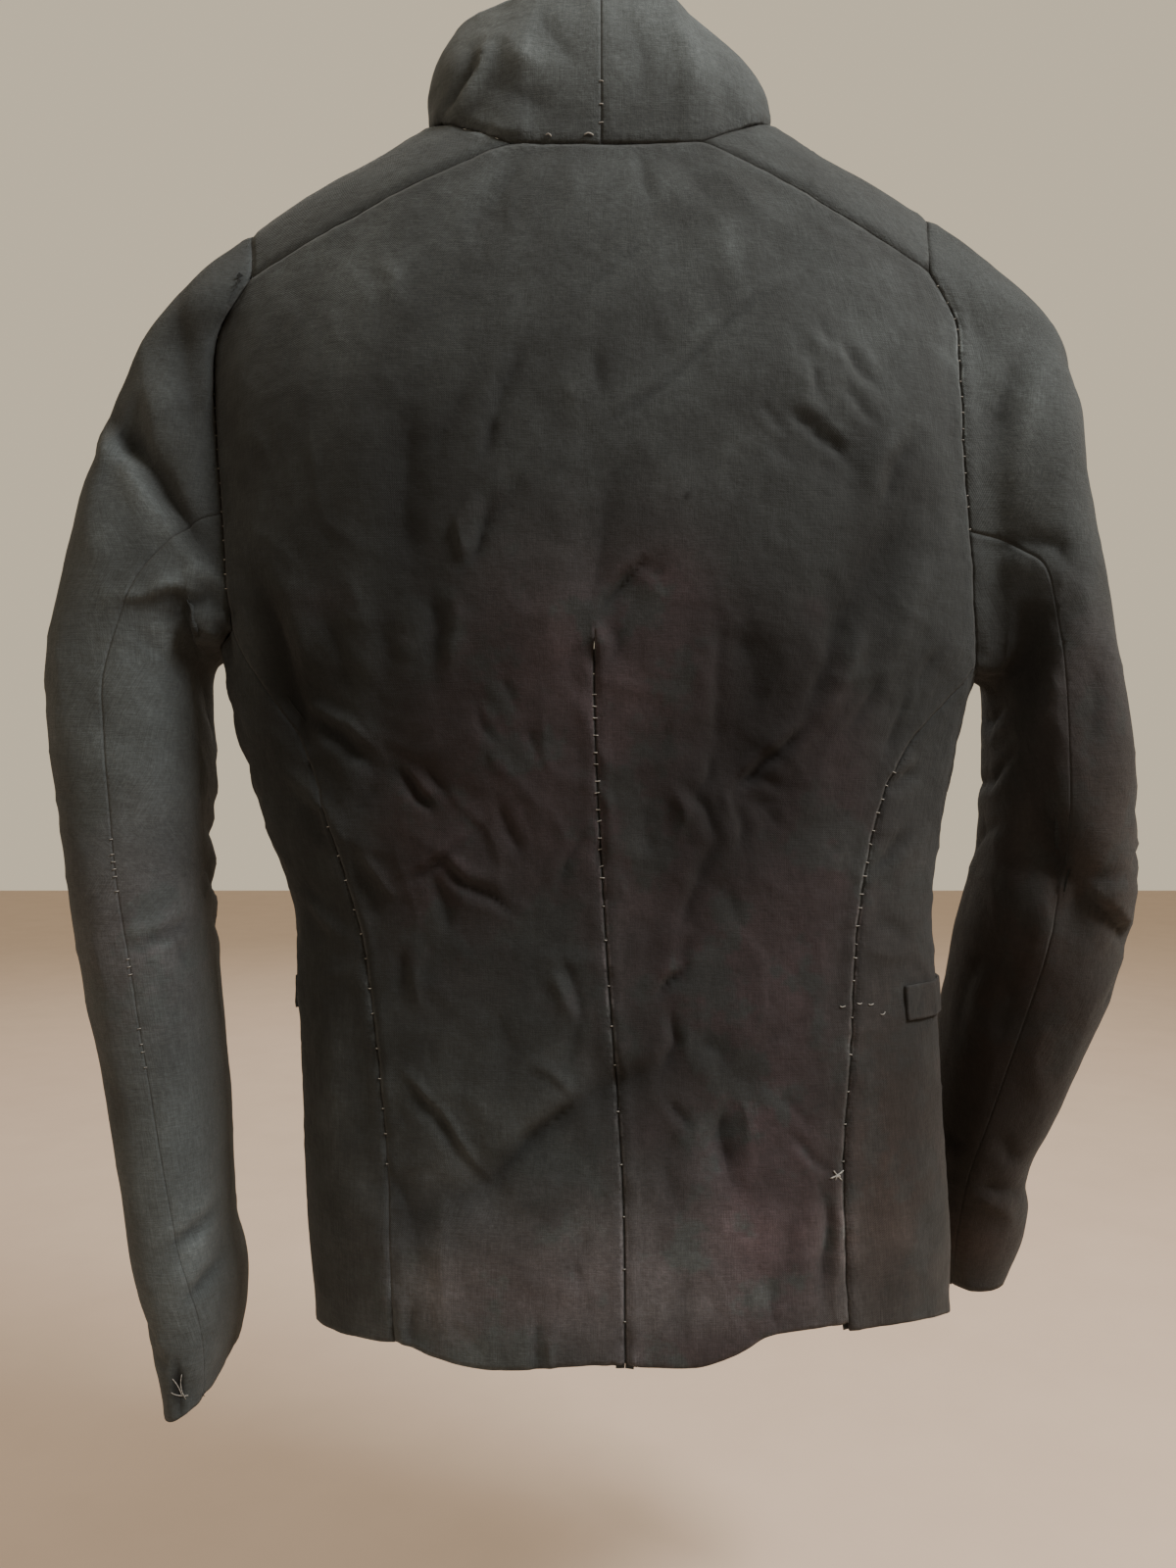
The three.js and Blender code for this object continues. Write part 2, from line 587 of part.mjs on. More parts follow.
// Armhole edge shared by body and sleeve: the direction halfway between the two
function shareArmhole(loop, order, firstRing) {
  order.slice(0, -1).forEach((k, c) => {
    const entry = loop[k];
    const away = firstRing[c].point.clone().sub(entry.point).normalize();
    const alongLoop = loop[(k + 1) % loop.length].point.clone().sub(loop.at(k - 1).point).normalize();
    const sleeveOut = alongLoop.clone().cross(away).normalize();
    if (sleeveOut.dot(firstRing[c].out) < 0) sleeveOut.negate();
    const between = sleeveOut.add(entry.out);
    entry.reach = clamp(2 / between.length(), 1, 1.5);
    entry.out = between.normalize();
    const sleevePoint = entry.point.clone().addScaledVector(away, SEAM_GAP);
    entry.sleeve = { point: sleevePoint, out: entry.out, reach: entry.reach };
  });
}

function buildSleeve(side, rows, loop) {
  const { rings, order, topSteps } = sleeveGrid(side, rows, loop);
  const dressed = dressRings(rings);
  shareArmhole(loop, order, dressed[0]);
  const grid = [order.map((k) => loop[k].sleeve), ...dressed];
  const cut = (from, to) =>
    grid.map((ring) =>
      ring.slice(from, to + 1).map((entry, j, part) => {
        if (j > 0 && j < part.length - 1) return entry;
        const inward = part[j > 0 ? j - 1 : 1].point.clone().sub(entry.point).normalize();
        return { ...entry, point: entry.point.clone().addScaledVector(inward, SEAM_GAP / 2) };
      }),
    );
  add(`sleeve_top_${side.name}`, clothWall([cut(0, topSteps)]), canvas);
  add(`sleeve_under_${side.name}`, clothWall([cut(topSteps, order.length - 1)]), canvas);
}

// The back: two patches that meet on the centre line, apart below the top of the slit
function buildBack(loops) {
  const hemZ = smoothColumn(hemRows, 'x', 'z');
  const centreX = smoothColumn(centreRows, 'z', 'x');
  const rowCount = ARMHOLE_BACK_STEPS + BODY_STEPS;
  const centreLine = steps(rowCount, (t) => {
    const z = lerp(0, hemZ(-12), t);
    return [centreX(z), z];
  });
  const centreEntries = centreLine.map((place) => folded(onBack(...place)));
  const patches = sides.map((side) => {
    const { seamX } = seamLines(side);
    const loop = loops[side.name];
    const shoulderLine = steps(SHOULDER_STEPS, (t) => [
      side.sign * lerp(side.shoulder.x, side.neck.x, t),
      lerp(side.shoulder.z, side.neck.z, t) - SEAM_GAP / 2,
    ]);
    const neckLine = steps(HALF_NECK_STEPS, (t) => [
      side.sign * lerp(side.neck.x, 0, t),
      side.neck.z * (1 - t) ** 2,
    ]);
    const top = [...shoulderLine, ...neckLine.slice(1)];
    const edge = steps(rowCount, (_, i) => {
      if (i <= ARMHOLE_BACK_STEPS) {
        const z = lerp(side.shoulder.z, side.underarm.back, i / ARMHOLE_BACK_STEPS);
        return [loop[i].point.x, z];
      }
      const z = lerp(side.underarm.back, side.backHem, (i - ARMHOLE_BACK_STEPS) / BODY_STEPS);
      return [side.sign * (seamX(z) - SEAM_GAP / 2), z];
    });
    const columns = top.length - 1;
    const bottom = steps(columns, (t) => {
      const x = lerp(edge[rowCount][0], centreLine[rowCount][0], t);
      return [x, lerp(edge[rowCount][1], hemZ(x), smooth(t * 6))];
    });
    const places = blendEdges(top, bottom, edge, centreLine);
    return places.map((row, i) =>
      row.map((place, j) => {
        if (j === 0 && i <= ARMHOLE_BACK_STEPS) return loop[i];
        if (j < columns) return folded(onBack(...place));
        if (place[1] > CENTRE_SLIT_TOP) return centreEntries[i];
        const apart = centreEntries[i].point.clone();
        apart.x += (side.sign * SEAM_GAP) / 2;
        return { ...centreEntries[i], point: apart };
      }),
    );
  });
  add('back', clothWall([patches[0], patches[1].map((row) => [...row].reverse())]), canvas);
  return { left: patches[0], right: patches[1] };
}

// A side panel, from the back seam round to the front seam, and its hem
function buildSide(side, loop) {
  const { backAngle, frontAngle } = seamLines(side);
  const surface = onSide(side.sign);
  const gapAngle = (z) => SEAM_GAP / 2 / (half(z) * 0.6);
  const top = underarmPlaces(side, backAngle, frontAngle);
  const hemAt = (t) => lerp(side.backHem, FRONT_HEM, smooth(t));
  const step = (t, v) => (side.sideHem - side.backHem) * (1 - smooth(t)) * smooth((v - 0.7) / 0.3);
  const grid = steps(BODY_STEPS, (v, i) =>
    steps(UNDERARM_STEPS, (u, j) => {
      if (i === 0) return loop[ARMHOLE_BACK_STEPS + j];
      const z = lerp(top[j][1], hemAt(u), v) + step(u, v);
      const from = backAngle(z) + gapAngle(z);
      const to = frontAngle(z) - gapAngle(z);
      return folded(surface(lerp(from, to, u), z));
    }),
  );
  add(`side_${side.name}`, clothWall([grid]), canvas);
}

function underarmPlaces(side, backAngle, frontAngle) {
  const ends = [backAngle(side.underarm.back), frontAngle(side.underarm.front)];
  return steps(UNDERARM_STEPS, (t) => [lerp(...ends, t), underarmZ(side, t)]);
}

// A front, from the shoulder seam over the ridge and down to the hem
function buildFront(side, loop) {
  const lines = seamLines(side);
  const neckShare = smoothColumn(frontNeckRows, 'way', 'share');
  const upper = ARMHOLE_FRONT_STEPS;
  const rowCount = upper + BODY_STEPS;
  const under = side === rightSide ? WALL + OVERLAP_GAP : 0;
  const innerX = (way) => {
    const neckX = side.sign * lerp(side.neck.x, NECK_SIDE, neckShare(way));
    const breakX = midX(FRONT_BREAK) - side.sign * OVERLAP;
    const breakWay = wayAt(breakX, FRONT_BREAK);
    const lastNeck = frontNeckRows.at(-1).way;
    if (way <= lastNeck) return neckX;
    const down = clamp((way - lastNeck) / (breakWay - lastNeck), 0, 1);
    const z = ridge(0) - CAP_HEIGHT - (way - 1) * FRONT_UNIT;
    const below = midX(Math.max(z, FRONT_HEM)) - side.sign * OVERLAP;
    return down < 1 ? lerp(neckX, breakX, down) : below;
  };
  const outer = steps(rowCount, (_, i) => {
    if (i <= upper) return frontArmholePlace(side, lines, i / upper);
    const z = lerp(side.underarm.front, FRONT_HEM, (i - upper) / BODY_STEPS);
    const x = lines.frontX(z) - (side.sign * SEAM_GAP) / 2;
    return [x, wayAt(x, z)];
  });
  const lastWay = wayAt(midX(FRONT_HEM), FRONT_HEM);
  const inner = steps(rowCount, (t) => {
    const way = lastWay * t ** 1.12;
    return [innerX(way), way];
  });
  const top = steps(FRONT_STEPS, (t) => [lerp(inner[0][0], outer[0][0], t), 0]);
  const bottom = steps(FRONT_STEPS, (t) => {
    const x = lerp(inner[rowCount][0], outer[rowCount][0], t);
    return [x, wayAt(x, FRONT_HEM)];
  });
  const places = blendEdges(top, bottom, inner, outer);
  const tuck = ({ point, out }) => {
    const near = 1 - smooth((Math.abs(point.x - midX(point.z)) - OVERLAP - 6) / 40);
    const low = smooth((FRONT_BREAK + 100 - point.z) / 50);
    return moved({ point, out }, -under * near * low);
  };
  const grid = places.map((row, i) =>
    row.map((place, j) => {
      if (j === FRONT_STEPS && i <= upper) return loop[(loop.length - i) % loop.length];
      const entry = tuck(folded(onFront(...place)));
      if (i > 0) return entry;
      const downhill = onFront(place[0], 0.05).point.sub(entry.point).normalize();
      return { ...entry, point: entry.point.clone().addScaledVector(downhill, SEAM_GAP / 2) };
    }),
  );
  add(`front_${side.name}`, clothWall([grid]), canvas);
  return grid;
}

// A lapel: a flap on the front, moved out from its points, from the roll edge outwards
function buildLapel(side, frontGrid) {
  const breakRow = frontGrid.findIndex((row) => row[0].point.z < side.lapelEnd);
  const rows = frontGrid.slice(lapel.firstRow, breakRow);
  const grid = rows.map((row, i) => {
    const t = i / (rows.length - 1);
    const wide = lapel.wide * Math.min(1, (1 - t) * 1.5 + 0.06) * (1 - 0.35 * (1 - smooth(t * 5)));
    return steps(lapel.steps, (u) => moved(alongRow(row, u * wide), WALL + OVERLAP_GAP));
  });
  add(`lapel_${side.name}`, clothWall([grid]), canvasWorn);
}

// The entry at a distance along a row of entries
function alongRow(row, distance) {
  let left = distance;
  for (let j = 0; j + 1 < row.length; j += 1) {
    const span = row[j].point.distanceTo(row[j + 1].point);
    if (left <= span || j + 2 === row.length) {
      const t = Math.min(left / span, 1);
      return {
        point: row[j].point.clone().lerp(row[j + 1].point, t),
        out: row[j].out.clone().lerp(row[j + 1].out, t).normalize(),
      };
    }
    left -= span;
  }
  return row.at(-1);
}

// Half of the collar, standing on the neck edge of the back and a front
function buildCollar(side, neckEdge, frontGrid) {
  const rows = side === leftSide ? leftCollarRows : rightCollarRows;
  const frontEdge = frontGrid.slice(1, lapel.firstRow + 1).map((row) => row[0]);
  const base = [...[...neckEdge].reverse(), ...frontEdge];
  const lengths = base.map((entry, k) => (k ? entry.point.distanceTo(base[k - 1].point) : 0));
  const total = lengths.reduce((sum, span) => sum + span, 0);
  const highAt = smoothColumn(rows, 'share', 'high');
  const leanAt = smoothColumn(rows, 'share', 'lean');
  const heart = new THREE.Vector3(0, -62, 0);
  let gone = 0;
  const columns = base.map((entry, k) => {
    gone += lengths[k];
    const share = gone / total;
    const away = entry.point.clone().sub(heart).setZ(0).normalize();
    if (k === 0) away.set(0, 1, 0);
    return steps(COLLAR_STEPS, (t) => {
      const point = entry.point.clone();
      point.z += LAYER_GAP + highAt(share) * t;
      point.addScaledVector(away, leanAt(share) * t * t + 4 * Math.sin(Math.PI * t) - 0.2);
      if (k === 0) point.x += (side.sign * SEAM_GAP) / 2;
      return { point, out: away };
    });
  });
  add(`collar_${side.name}`, clothWall([columns]), canvasWorn);
}

// A pocket welt round the side onto the front, and the underlap of a side vent
function buildWelt(side) {
  const surface = onSide(side.sign);
  const rad = THREE.MathUtils.degToRad;
  const [from, to] = welt[side.name];
  const grid = steps(welt.steps, (t) =>
    steps(2, (v) => {
      const entry = folded(surface(rad(lerp(from, to, t)), welt.top - welt.high * v));
      return moved(entry, WALL + LAYER_GAP);
    }),
  );
  add(`pocket_${side.name}`, clothWall([grid]), canvasWorn);
}

function buildVent(side, backPatch) {
  const rows = backPatch.filter((row) => row[0].point.z < vent.top);
  const grid = rows.map((row) => row.slice(0, vent.columns).map((entry) => moved(entry, -WALL - LAYER_GAP)));
  add(`vent_${side.name}`, clothWall([grid]), canvas);
}

// A front button: a turned disc with a raised rim and a dished middle
function buildButton(number) {
  const { radius, thick, rim, dish, sides: count } = button;
  const profile = [
    [0, 0],
    [radius - 1, 0],
    [radius, thick * 0.4],
    [radius - 0.6, thick],
    [radius - rim, thick],
    [radius - rim - 1, thick - dish],
    [0, thick - dish],
  ].map(([x, y]) => new THREE.Vector2(x, y));
  const z = button.first - button.pitch * number;
  const { point, out } = folded(onFront(midX(z), wayAt(midX(z), z)));
  const mesh = add(`button_${number + 1}`, new THREE.LatheGeometry(profile, count), horn);
  mesh.quaternion.setFromUnitVectors(new THREE.Vector3(0, 1, 0), out);
  mesh.position.copy(point).addScaledVector(out, LAYER_GAP);
}

const loops = { left: armholeLoop(leftSide), right: armholeLoop(rightSide) };
buildSleeve(leftSide, leftSleeveRows, loops.left);
buildSleeve(rightSide, rightSleeveRows, loops.right);
const backPatches = buildBack(loops);
for (const side of sides) {
  const loop = loops[side.name];
  buildSide(side, loop);
  const frontGrid = buildFront(side, loop);
  buildLapel(side, frontGrid);
  buildCollar(side, backPatches[side.name][0].slice(SHOULDER_STEPS), frontGrid);
  buildWelt(side);
  buildVent(side, backPatches[side.name]);
}
for (let number = 0; number < button.count; number += 1) buildButton(number);

export default blazer;
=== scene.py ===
import math

import bmesh
import bpy
import numpy as np
from mathutils import Matrix, Vector, kdtree, noise
from mathutils.bvhtree import BVHTree


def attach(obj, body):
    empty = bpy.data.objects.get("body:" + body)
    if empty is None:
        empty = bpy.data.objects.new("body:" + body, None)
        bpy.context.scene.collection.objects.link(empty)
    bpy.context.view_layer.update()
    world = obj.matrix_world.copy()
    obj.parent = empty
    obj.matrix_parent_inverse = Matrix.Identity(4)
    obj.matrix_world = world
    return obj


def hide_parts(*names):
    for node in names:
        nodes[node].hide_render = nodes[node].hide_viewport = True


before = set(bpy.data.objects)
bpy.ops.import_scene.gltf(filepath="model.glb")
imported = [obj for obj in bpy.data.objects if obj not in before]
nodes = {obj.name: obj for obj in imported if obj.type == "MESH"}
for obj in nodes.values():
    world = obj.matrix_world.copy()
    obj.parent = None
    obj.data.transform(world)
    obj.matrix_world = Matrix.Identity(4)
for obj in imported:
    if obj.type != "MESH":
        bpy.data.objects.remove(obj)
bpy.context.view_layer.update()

MM = 0.001
WALL = 1.8 * MM
WELD = 0.02 * MM
THROUGH = 3.0 * MM
AGAINST = -0.09
LEVEL = 3
AXIS_X = -8
AXIS_Y = -56
FAR_MM = 60

# Creases, as points (x, z), width and depth in millimetres. A negative depth is pressed in.
# The first table is for cloth that faces back, sleeves and collar with it.

BACK_CREASES = [
    # long diagonal from the right shoulder down to the spine
    ([(-101, -79), (-70, -102), (-52, -121), (-30, -142), (-6, -160), (10, -173)], 3, -1.5),
    ([(-104, -74), (-76, -93), (-58, -112)], 5, 0.8),
    ([(-24, -60), (-6, -76), (10, -90), (19, -99)], 2.6, -0.9),
    # strokes left of the spine
    ([(43, -122), (52, -146), (57, -160)], 4.5, -2.2),
    ([(55, -158), (61, -179)], 3.4, -2.3),
    ([(56, -200), (62, -218), (71, -234)], 3.2, -3),
    ([(77, -205), (74, -218), (69, -233)], 3, 1.8),
    ([(64, -198), (77, -216)], 2.6, 1.4),
    ([(38, -186), (52, -206), (60, -222)], 6, -1.4),
    ([(70, -140), (82, -160), (86, -176)], 5, -1.3),
    ([(4, -124), (2, -137), (0, -147)], 4, -1.4),
    ([(26, -128), (14, -150), (12, -170)], 8, 1.1),
    ([(-8, -188), (-1, -212), (3, -240), (9, -262)], 9, -2.6),
    ([(-26, -226), (-10, -244), (4, -262)], 2.8, -2.4),
    ([(-30, -222), (-19, -230), (-10, -236)], 3, 1.2),
    ([(-20, -232), (-34, -240)], 3, -1),
    ([(4, -262), (1, -274), (5, -284)], 3, 1.2),
    ([(12, -277), (20, -286)], 2.4, -1.3),
    ([(-4, -264), (-8, -276), (-4, -288)], 3, -1.2),
    # knot of creases behind the right shoulder
    ([(-113, -102), (-123, -115)], 3, -1.5),
    ([(-109, -112), (-118, -122)], 3, 1.1),
    ([(-128, -114), (-136, -126), (-149, -139)], 3, -1.8),
    ([(-133, -109), (-147, -126)], 4, 1.1),
    ([(-128, -137), (-140, -150), (-150, -157)], 3, -1.6),
    ([(-112, -129), (-117, -144)], 2.6, -1.6),
    ([(-95, -151), (-112, -160), (-126, -172), (-134, -181)], 3.2, -1.9),
    ([(-101, -146), (-118, -153), (-134, -167)], 3.6, 1.3),
    ([(-82, -149), (-98, -163)], 3, -1.2),
    ([(-88, -169), (-104, -182)], 3.4, -1.1),
    ([(-169, -160), (-160, -178), (-152, -202)], 5.5, -2.6),
    ([(-160, -158), (-148, -180), (-140, -200)], 6, 1.2),
    # hollows between the shoulder blades and the waist
    ([(-166, -200), (-150, -226), (-128, -258), (-118, -284)], 15, -3.8),
    ([(-176, -220), (-168, -250), (-158, -284)], 9, 1.8),
    ([(-70, -262), (-80, -290), (-84, -322)], 15, -3.4),
    ([(-62, -256), (-61, -290), (-63, -330)], 4, -1.4),
    ([(98, -144), (102, -176), (104, -212), (99, -246)], 13, -3.6),
    ([(92, -246), (86, -268), (88, -288)], 6, -2.4),
    ([(76, -250), (76, -272), (80, -290)], 5, 1.6),
    ([(118, -262), (112, -282), (118, -300)], 6, -1.6),
    ([(137, -232), (128, -256), (118, -268)], 7, 1.2),
    ([(190, -232), (180, -262), (168, -300), (160, -338)], 9, -5),
    ([(178, -226), (166, -262), (154, -290)], 10, 2),
    ([(150, -258), (138, -282), (134, -300)], 6, -1.6),
    # left of the waist
    ([(166, -301), (150, -309), (134, -318), (116, -333)], 4.2, 2.6),
    ([(158, -312), (140, -325), (124, -338)], 4.2, -2.8),
    ([(112, -340), (101, -350), (90, -364)], 2.8, -2.2),
    ([(106, -337), (96, -348), (86, -360)], 2.6, 1.6),
    ([(96, -338), (86, -350), (79, -360)], 2.6, -1.4),
    ([(110, -398), (92, -389), (74, -375), (57, -360)], 2.6, 1.3),
    ([(106, -402), (92, -395), (76, -383)], 2.8, -1.4),
    ([(57, -358), (50, -374), (42, -390)], 3, -1.7),
    ([(86, -391), (76, -401), (60, -408), (44, -416)], 3, -2.6),
    ([(84, -384), (70, -396), (56, -401)], 3.6, 1.3),
    ([(92, -394), (84, -412), (80, -432)], 5, -1.9),
    ([(64, -308), (62, -318), (56, -328)], 2.8, -1.2),
    ([(38, -318), (33, -334)], 3, -1),
    ([(50, -292), (46, -306)], 3, -1.1),
    ([(176, -338), (160, -353), (148, -368), (141, -380)], 6, 2.4),
    ([(172, -352), (156, -370), (150, -388)], 4, -1.8),
    ([(164, -413), (154, -424), (142, -434)], 3.4, 2.2),
    ([(168, -404), (158, -414)], 4, -1.6),
    ([(130, -384), (120, -397), (112, -412)], 3.4, 1.8),
    ([(136, -392), (126, -408), (120, -426)], 4, -1.7),
    ([(122, -344), (132, -366)], 6, -1.8),
    ([(98, -436), (102, -452), (96, -470)], 4, 1.2),
    ([(108, -440), (110, -462)], 4, -1.4),
    ([(10, -377), (18, -391), (24, -406)], 2.8, -1.4),
    ([(2, -378), (-2, -398)], 4, -1.2),
    # star of creases right of the waist
    ([(-67, -347), (-80, -337), (-92, -327), (-105, -315)], 2.8, 2.2),
    ([(-71, -350), (-84, -342), (-97, -332), (-110, -318)], 3.2, -2.8),
    ([(-104, -314), (-117, -296), (-125, -276), (-133, -256)], 5, -2.6),
    ([(-112, -318), (-126, -300), (-136, -280), (-142, -262)], 6, 1.8),
    ([(-134, -322), (-144, -306), (-151, -286)], 4, -1.6),
    ([(-74, -345), (-90, -347), (-99, -352)], 3, -1.9),
    ([(-60, -330), (-57, -344), (-49, -353)], 3, -1.8),
    ([(-46, -351), (-55, -363), (-61, -378)], 4, -2.8),
    ([(-62, -377), (-54, -394), (-47, -412), (-42, -428)], 4.6, -2.4),
    ([(-36, -350), (-44, -362), (-41, -378)], 4, 2),
    ([(-70, -358), (-76, -372), (-73, -384)], 4, -2),
    ([(-64, -352), (-69, -364)], 3, 1.5),
    ([(-82, -356), (-96, -372)], 5, -1.2),
    ([(-25, -358), (-22, -374), (-26, -388)], 5, -1.3),
    ([(-56, -400), (-68, -408), (-73, -422)], 4, -1.2),
    ([(-50, -428), (-43, -440), (-46, -452)], 4, -1.3),
    # right side panel
    ([(-150, -396), (-160, -388), (-172, -371)], 3.6, -1.6),
    ([(-147, -388), (-158, -379), (-168, -364)], 4, 1.2),
    ([(-157, -346), (-167, -338), (-177, -334)], 3.4, 1.6),
    ([(-155, -352), (-168, -346), (-178, -343)], 3.4, -1.6),
    ([(-150, -424), (-160, -428), (-168, -437)], 3.4, -1.2),
    ([(-146, -436), (-156, -442), (-170, -445)], 3.4, 1),
    ([(-168, -300), (-162, -316), (-156, -330)], 3, -2.4),
    ([(-176, -288), (-168, -304), (-160, -322)], 3.2, 1.8),
    ([(-183, -276), (-171, -298)], 2.6, -1.8),
    # below the waist
    ([(-26, -499), (-9, -508), (9, -517)], 6, -2.2),
    ([(8, -516), (24, -528), (40, -541), (62, -561)], 5.4, -4.2),
    ([(4, -508), (22, -521), (44, -538)], 7, 1.6),
    ([(60, -560), (78, -568), (92, -576), (106, -588)], 8, -1.8),
    ([(112, -500), (96, -514), (82, -530), (70, -547), (61, -557)], 2.8, 1.7),
    ([(104, -512), (88, -528), (76, -546)], 4, -1.5),
    ([(-46, -447), (-37, -455), (-28, -466)], 3, -3),
    ([(-40, -442), (-30, -452)], 3.6, 1.2),
    ([(-36, -468), (-39, -486), (-32, -504)], 3.8, -2.6),
    ([(-46, -478), (-47, -496)], 4, 1.3),
    ([(-34, -516), (-42, -524), (-49, -531)], 2.8, -2),
    ([(-66, -522), (-64, -538), (-69, -556)], 4.6, -3.2),
    ([(-76, -512), (-80, -530), (-78, -552)], 5, 1.6),
    ([(-50, -482), (-64, -490), (-72, -502)], 6, -1.6),
    ([(-86, -490), (-98, -482), (-108, -476)], 4, -1.1),
    ([(-40, -530), (-34, -552), (-38, -572)], 7, -1.6),
    ([(-99, -534), (-110, -546), (-125, -559)], 2.6, -1.7),
    ([(-92, -512), (-104, -524), (-114, -536)], 3.4, -1),
    ([(-137, -540), (-131, -551), (-127, -559)], 2.6, -1.5),
    ([(21, -438), (15, -456), (10, -474)], 3.6, -1.7),
    ([(26, -444), (20, -462), (14, -478)], 3.6, 1.3),
    ([(12, -470), (14, -488), (20, -502)], 4, -1.3),
    ([(38, -497), (26, -503), (12, -514)], 3, 1.5),
    ([(56, -470), (48, -492), (52, -514)], 7, -1.1),
    ([(116, -556), (106, -576), (98, -600)], 12, -3),
    ([(86, -584), (84, -606), (86, -636)], 9, 1.3),
    ([(124, -470), (130, -510), (132, -556)], 10, -1.4),
    ([(148, -480), (150, -520), (150, -560)], 8, 1.2),
    # towards the hem
    ([(-118, -564), (-121, -590), (-118, -622)], 3.6, -2),
    ([(-126, -564), (-127, -594), (-125, -634)], 3, 1.5),
    ([(-104, -566), (-100, -592), (-98, -616)], 6, -1.2),
    ([(-94, -612), (-90, -628), (-94, -640)], 4, -1.4),
    ([(22, -632), (26, -644), (24, -660)], 2.8, 1.2),
    ([(32, -630), (34, -645), (33, -660)], 2.8, -1.2),
    ([(100, -628), (104, -640), (102, -656)], 3, -1.2),
    ([(-22, -640), (-18, -652), (-22, -662)], 3, 1.1),
    ([(-48, -600), (-42, -626), (-46, -650)], 7, -1.2),
    ([(6, -578), (14, -600), (8, -622)], 7, -1.1),
    # collar and neck
    ([(92, 27), (82, 39), (73, 50), (70, 66)], 4, -3.6),
    ([(86, 24), (75, 36), (66, 48), (62, 66)], 5, 2.2),
    ([(58, 72), (46, 54), (30, 38)], 9, 1.6),
    ([(36, 76), (24, 56), (14, 40)], 7, -1.6),
    ([(66, 40), (46, 26), (26, 18)], 8, -1.7),
    ([(-40, 80), (-50, 50), (-58, 22)], 9, 1.6),
    ([(-14, 74), (-24, 46), (-22, 20)], 7, -1.2),
    ([(-68, 40), (-74, 22), (-72, 8)], 6, -1.2),
    ([(84, 12), (62, 9), (44, 8)], 3, 1.1),
    ([(-23, 0), (-24, -20), (-27, -40)], 4, -1.4),
    ([(-38, -6), (-52, -24), (-64, -40)], 7, -1.2),
    ([(42, -10), (56, -32), (66, -56)], 8, -1.5),
    ([(-60, -8), (-80, -30), (-96, -48)], 6, 1),
    ([(20, -8), (12, -30), (18, -52)], 7, 0.9),
    ([(118, -66), (108, -80), (112, -94)], 5, 1),
    ([(-62, -40), (-70, -66), (-66, -92)], 8, 1),
    # left sleeve
    ([(243, -256), (220, -243), (208, -254), (211, -270)], 5, -3.5),
    ([(252, -243), (226, -230), (206, -237)], 6, 2.5),
    ([(284, -134), (270, -149), (252, -172), (232, -200), (214, -228)], 6, -4.6),
    ([(288, -150), (268, -170), (248, -194), (230, -222)], 9, 2),
    ([(238, -64), (236, -92), (232, -128), (228, -164)], 7, -1.8),
    ([(262, -90), (256, -120), (246, -150)], 12, 1.6),
    ([(270, -247), (254, -243), (236, -238), (226, -240)], 3.2, 2),
    ([(228, -240), (216, -246), (206, -262)], 4, 2),
    ([(236, -248), (232, -262), (228, -284)], 7, -5),
    ([(216, -256), (212, -268), (214, -284)], 4, -2.6),
    ([(258, -262), (244, -278), (236, -296)], 9, -1.4),
    ([(246, -214), (262, -226), (276, -238)], 9, -1.2),
    ([(301, -262), (302, -300), (304, -336)], 8, 1.4),
    ([(284, -300), (270, -318), (250, -326)], 8, -1),
    ([(229, -420), (240, -430), (256, -437), (272, -437)], 3.8, -2.6),
    ([(232, -428), (244, -440), (258, -446)], 5, 1.2),
    ([(276, -430), (264, -422), (250, -420)], 6, -1.2),
    ([(243, -436), (240, -448), (238, -456)], 3, -1.5),
    ([(288, -500), (276, -520), (270, -546)], 8, -1),
    ([(217, -588), (228, -600), (246, -610)], 3.4, -2.4),
    ([(216, -598), (228, -608), (240, -616)], 4.4, 1.2),
    ([(216, -612), (222, -626), (236, -644)], 3.2, -2.8),
    ([(226, -604), (234, -622), (246, -634)], 5, 1.2),
    ([(270, -652), (262, -662), (250, -668)], 4, -1.4),
    ([(262, -672), (250, -679), (243, -678)], 3.4, -1.2),
    ([(254, -662), (246, -670)], 3, 1),
    ([(240, -676), (238, -690), (238, -712)], 2.6, -1.6),
    # right sleeve
    ([(-232, -110), (-224, -132), (-214, -158)], 7, -1.8),
    ([(-250, -108), (-240, -134), (-230, -166)], 9, 1.8),
    ([(-216, -216), (-236, -214), (-252, -218), (-262, -232)], 6, -2.6),
    ([(-262, -230), (-268, -250), (-266, -276)], 8, 1.6),
    ([(-232, -240), (-240, -268), (-242, -300)], 13, -4),
    ([(-256, -268), (-252, -296), (-248, -322)], 6, 1.6),
    ([(-274, -284), (-276, -306), (-272, -330)], 7, -1.6),
    ([(-286, -262), (-296, -300), (-302, -340)], 10, 1.6),
    ([(-246, -352), (-254, -372), (-262, -394), (-276, -414)], 5, -2.6),
    ([(-276, -412), (-290, -426), (-306, -436), (-320, -444)], 4.6, -3),
    ([(-272, -402), (-288, -416), (-304, -427), (-322, -436)], 6, 2.4),
    ([(-304, -398), (-314, -389), (-324, -382)], 2.8, -2.2),
    ([(-300, -390), (-312, -382)], 3, 1.4),
    ([(-272, -404), (-292, -402), (-318, -406)], 4, -1.4),
    ([(-304, -360), (-316, -372), (-324, -370)], 3.6, -1.4),
    ([(-310, -462), (-300, -474), (-292, -482)], 4, -1.5),
    ([(-240, -560), (-252, -574), (-262, -580)], 5, -1.6),
    ([(-236, -596), (-250, -600), (-264, -604)], 4, -1.8),
    ([(-232, -604), (-248, -612), (-262, -622)], 4.4, 1.2),
    ([(-232, -440), (-238, -470), (-236, -500)], 9, -1.8),
    ([(-262, -480), (-256, -510), (-262, -540)], 8, 1.4),
]

# Cloth that faces forward

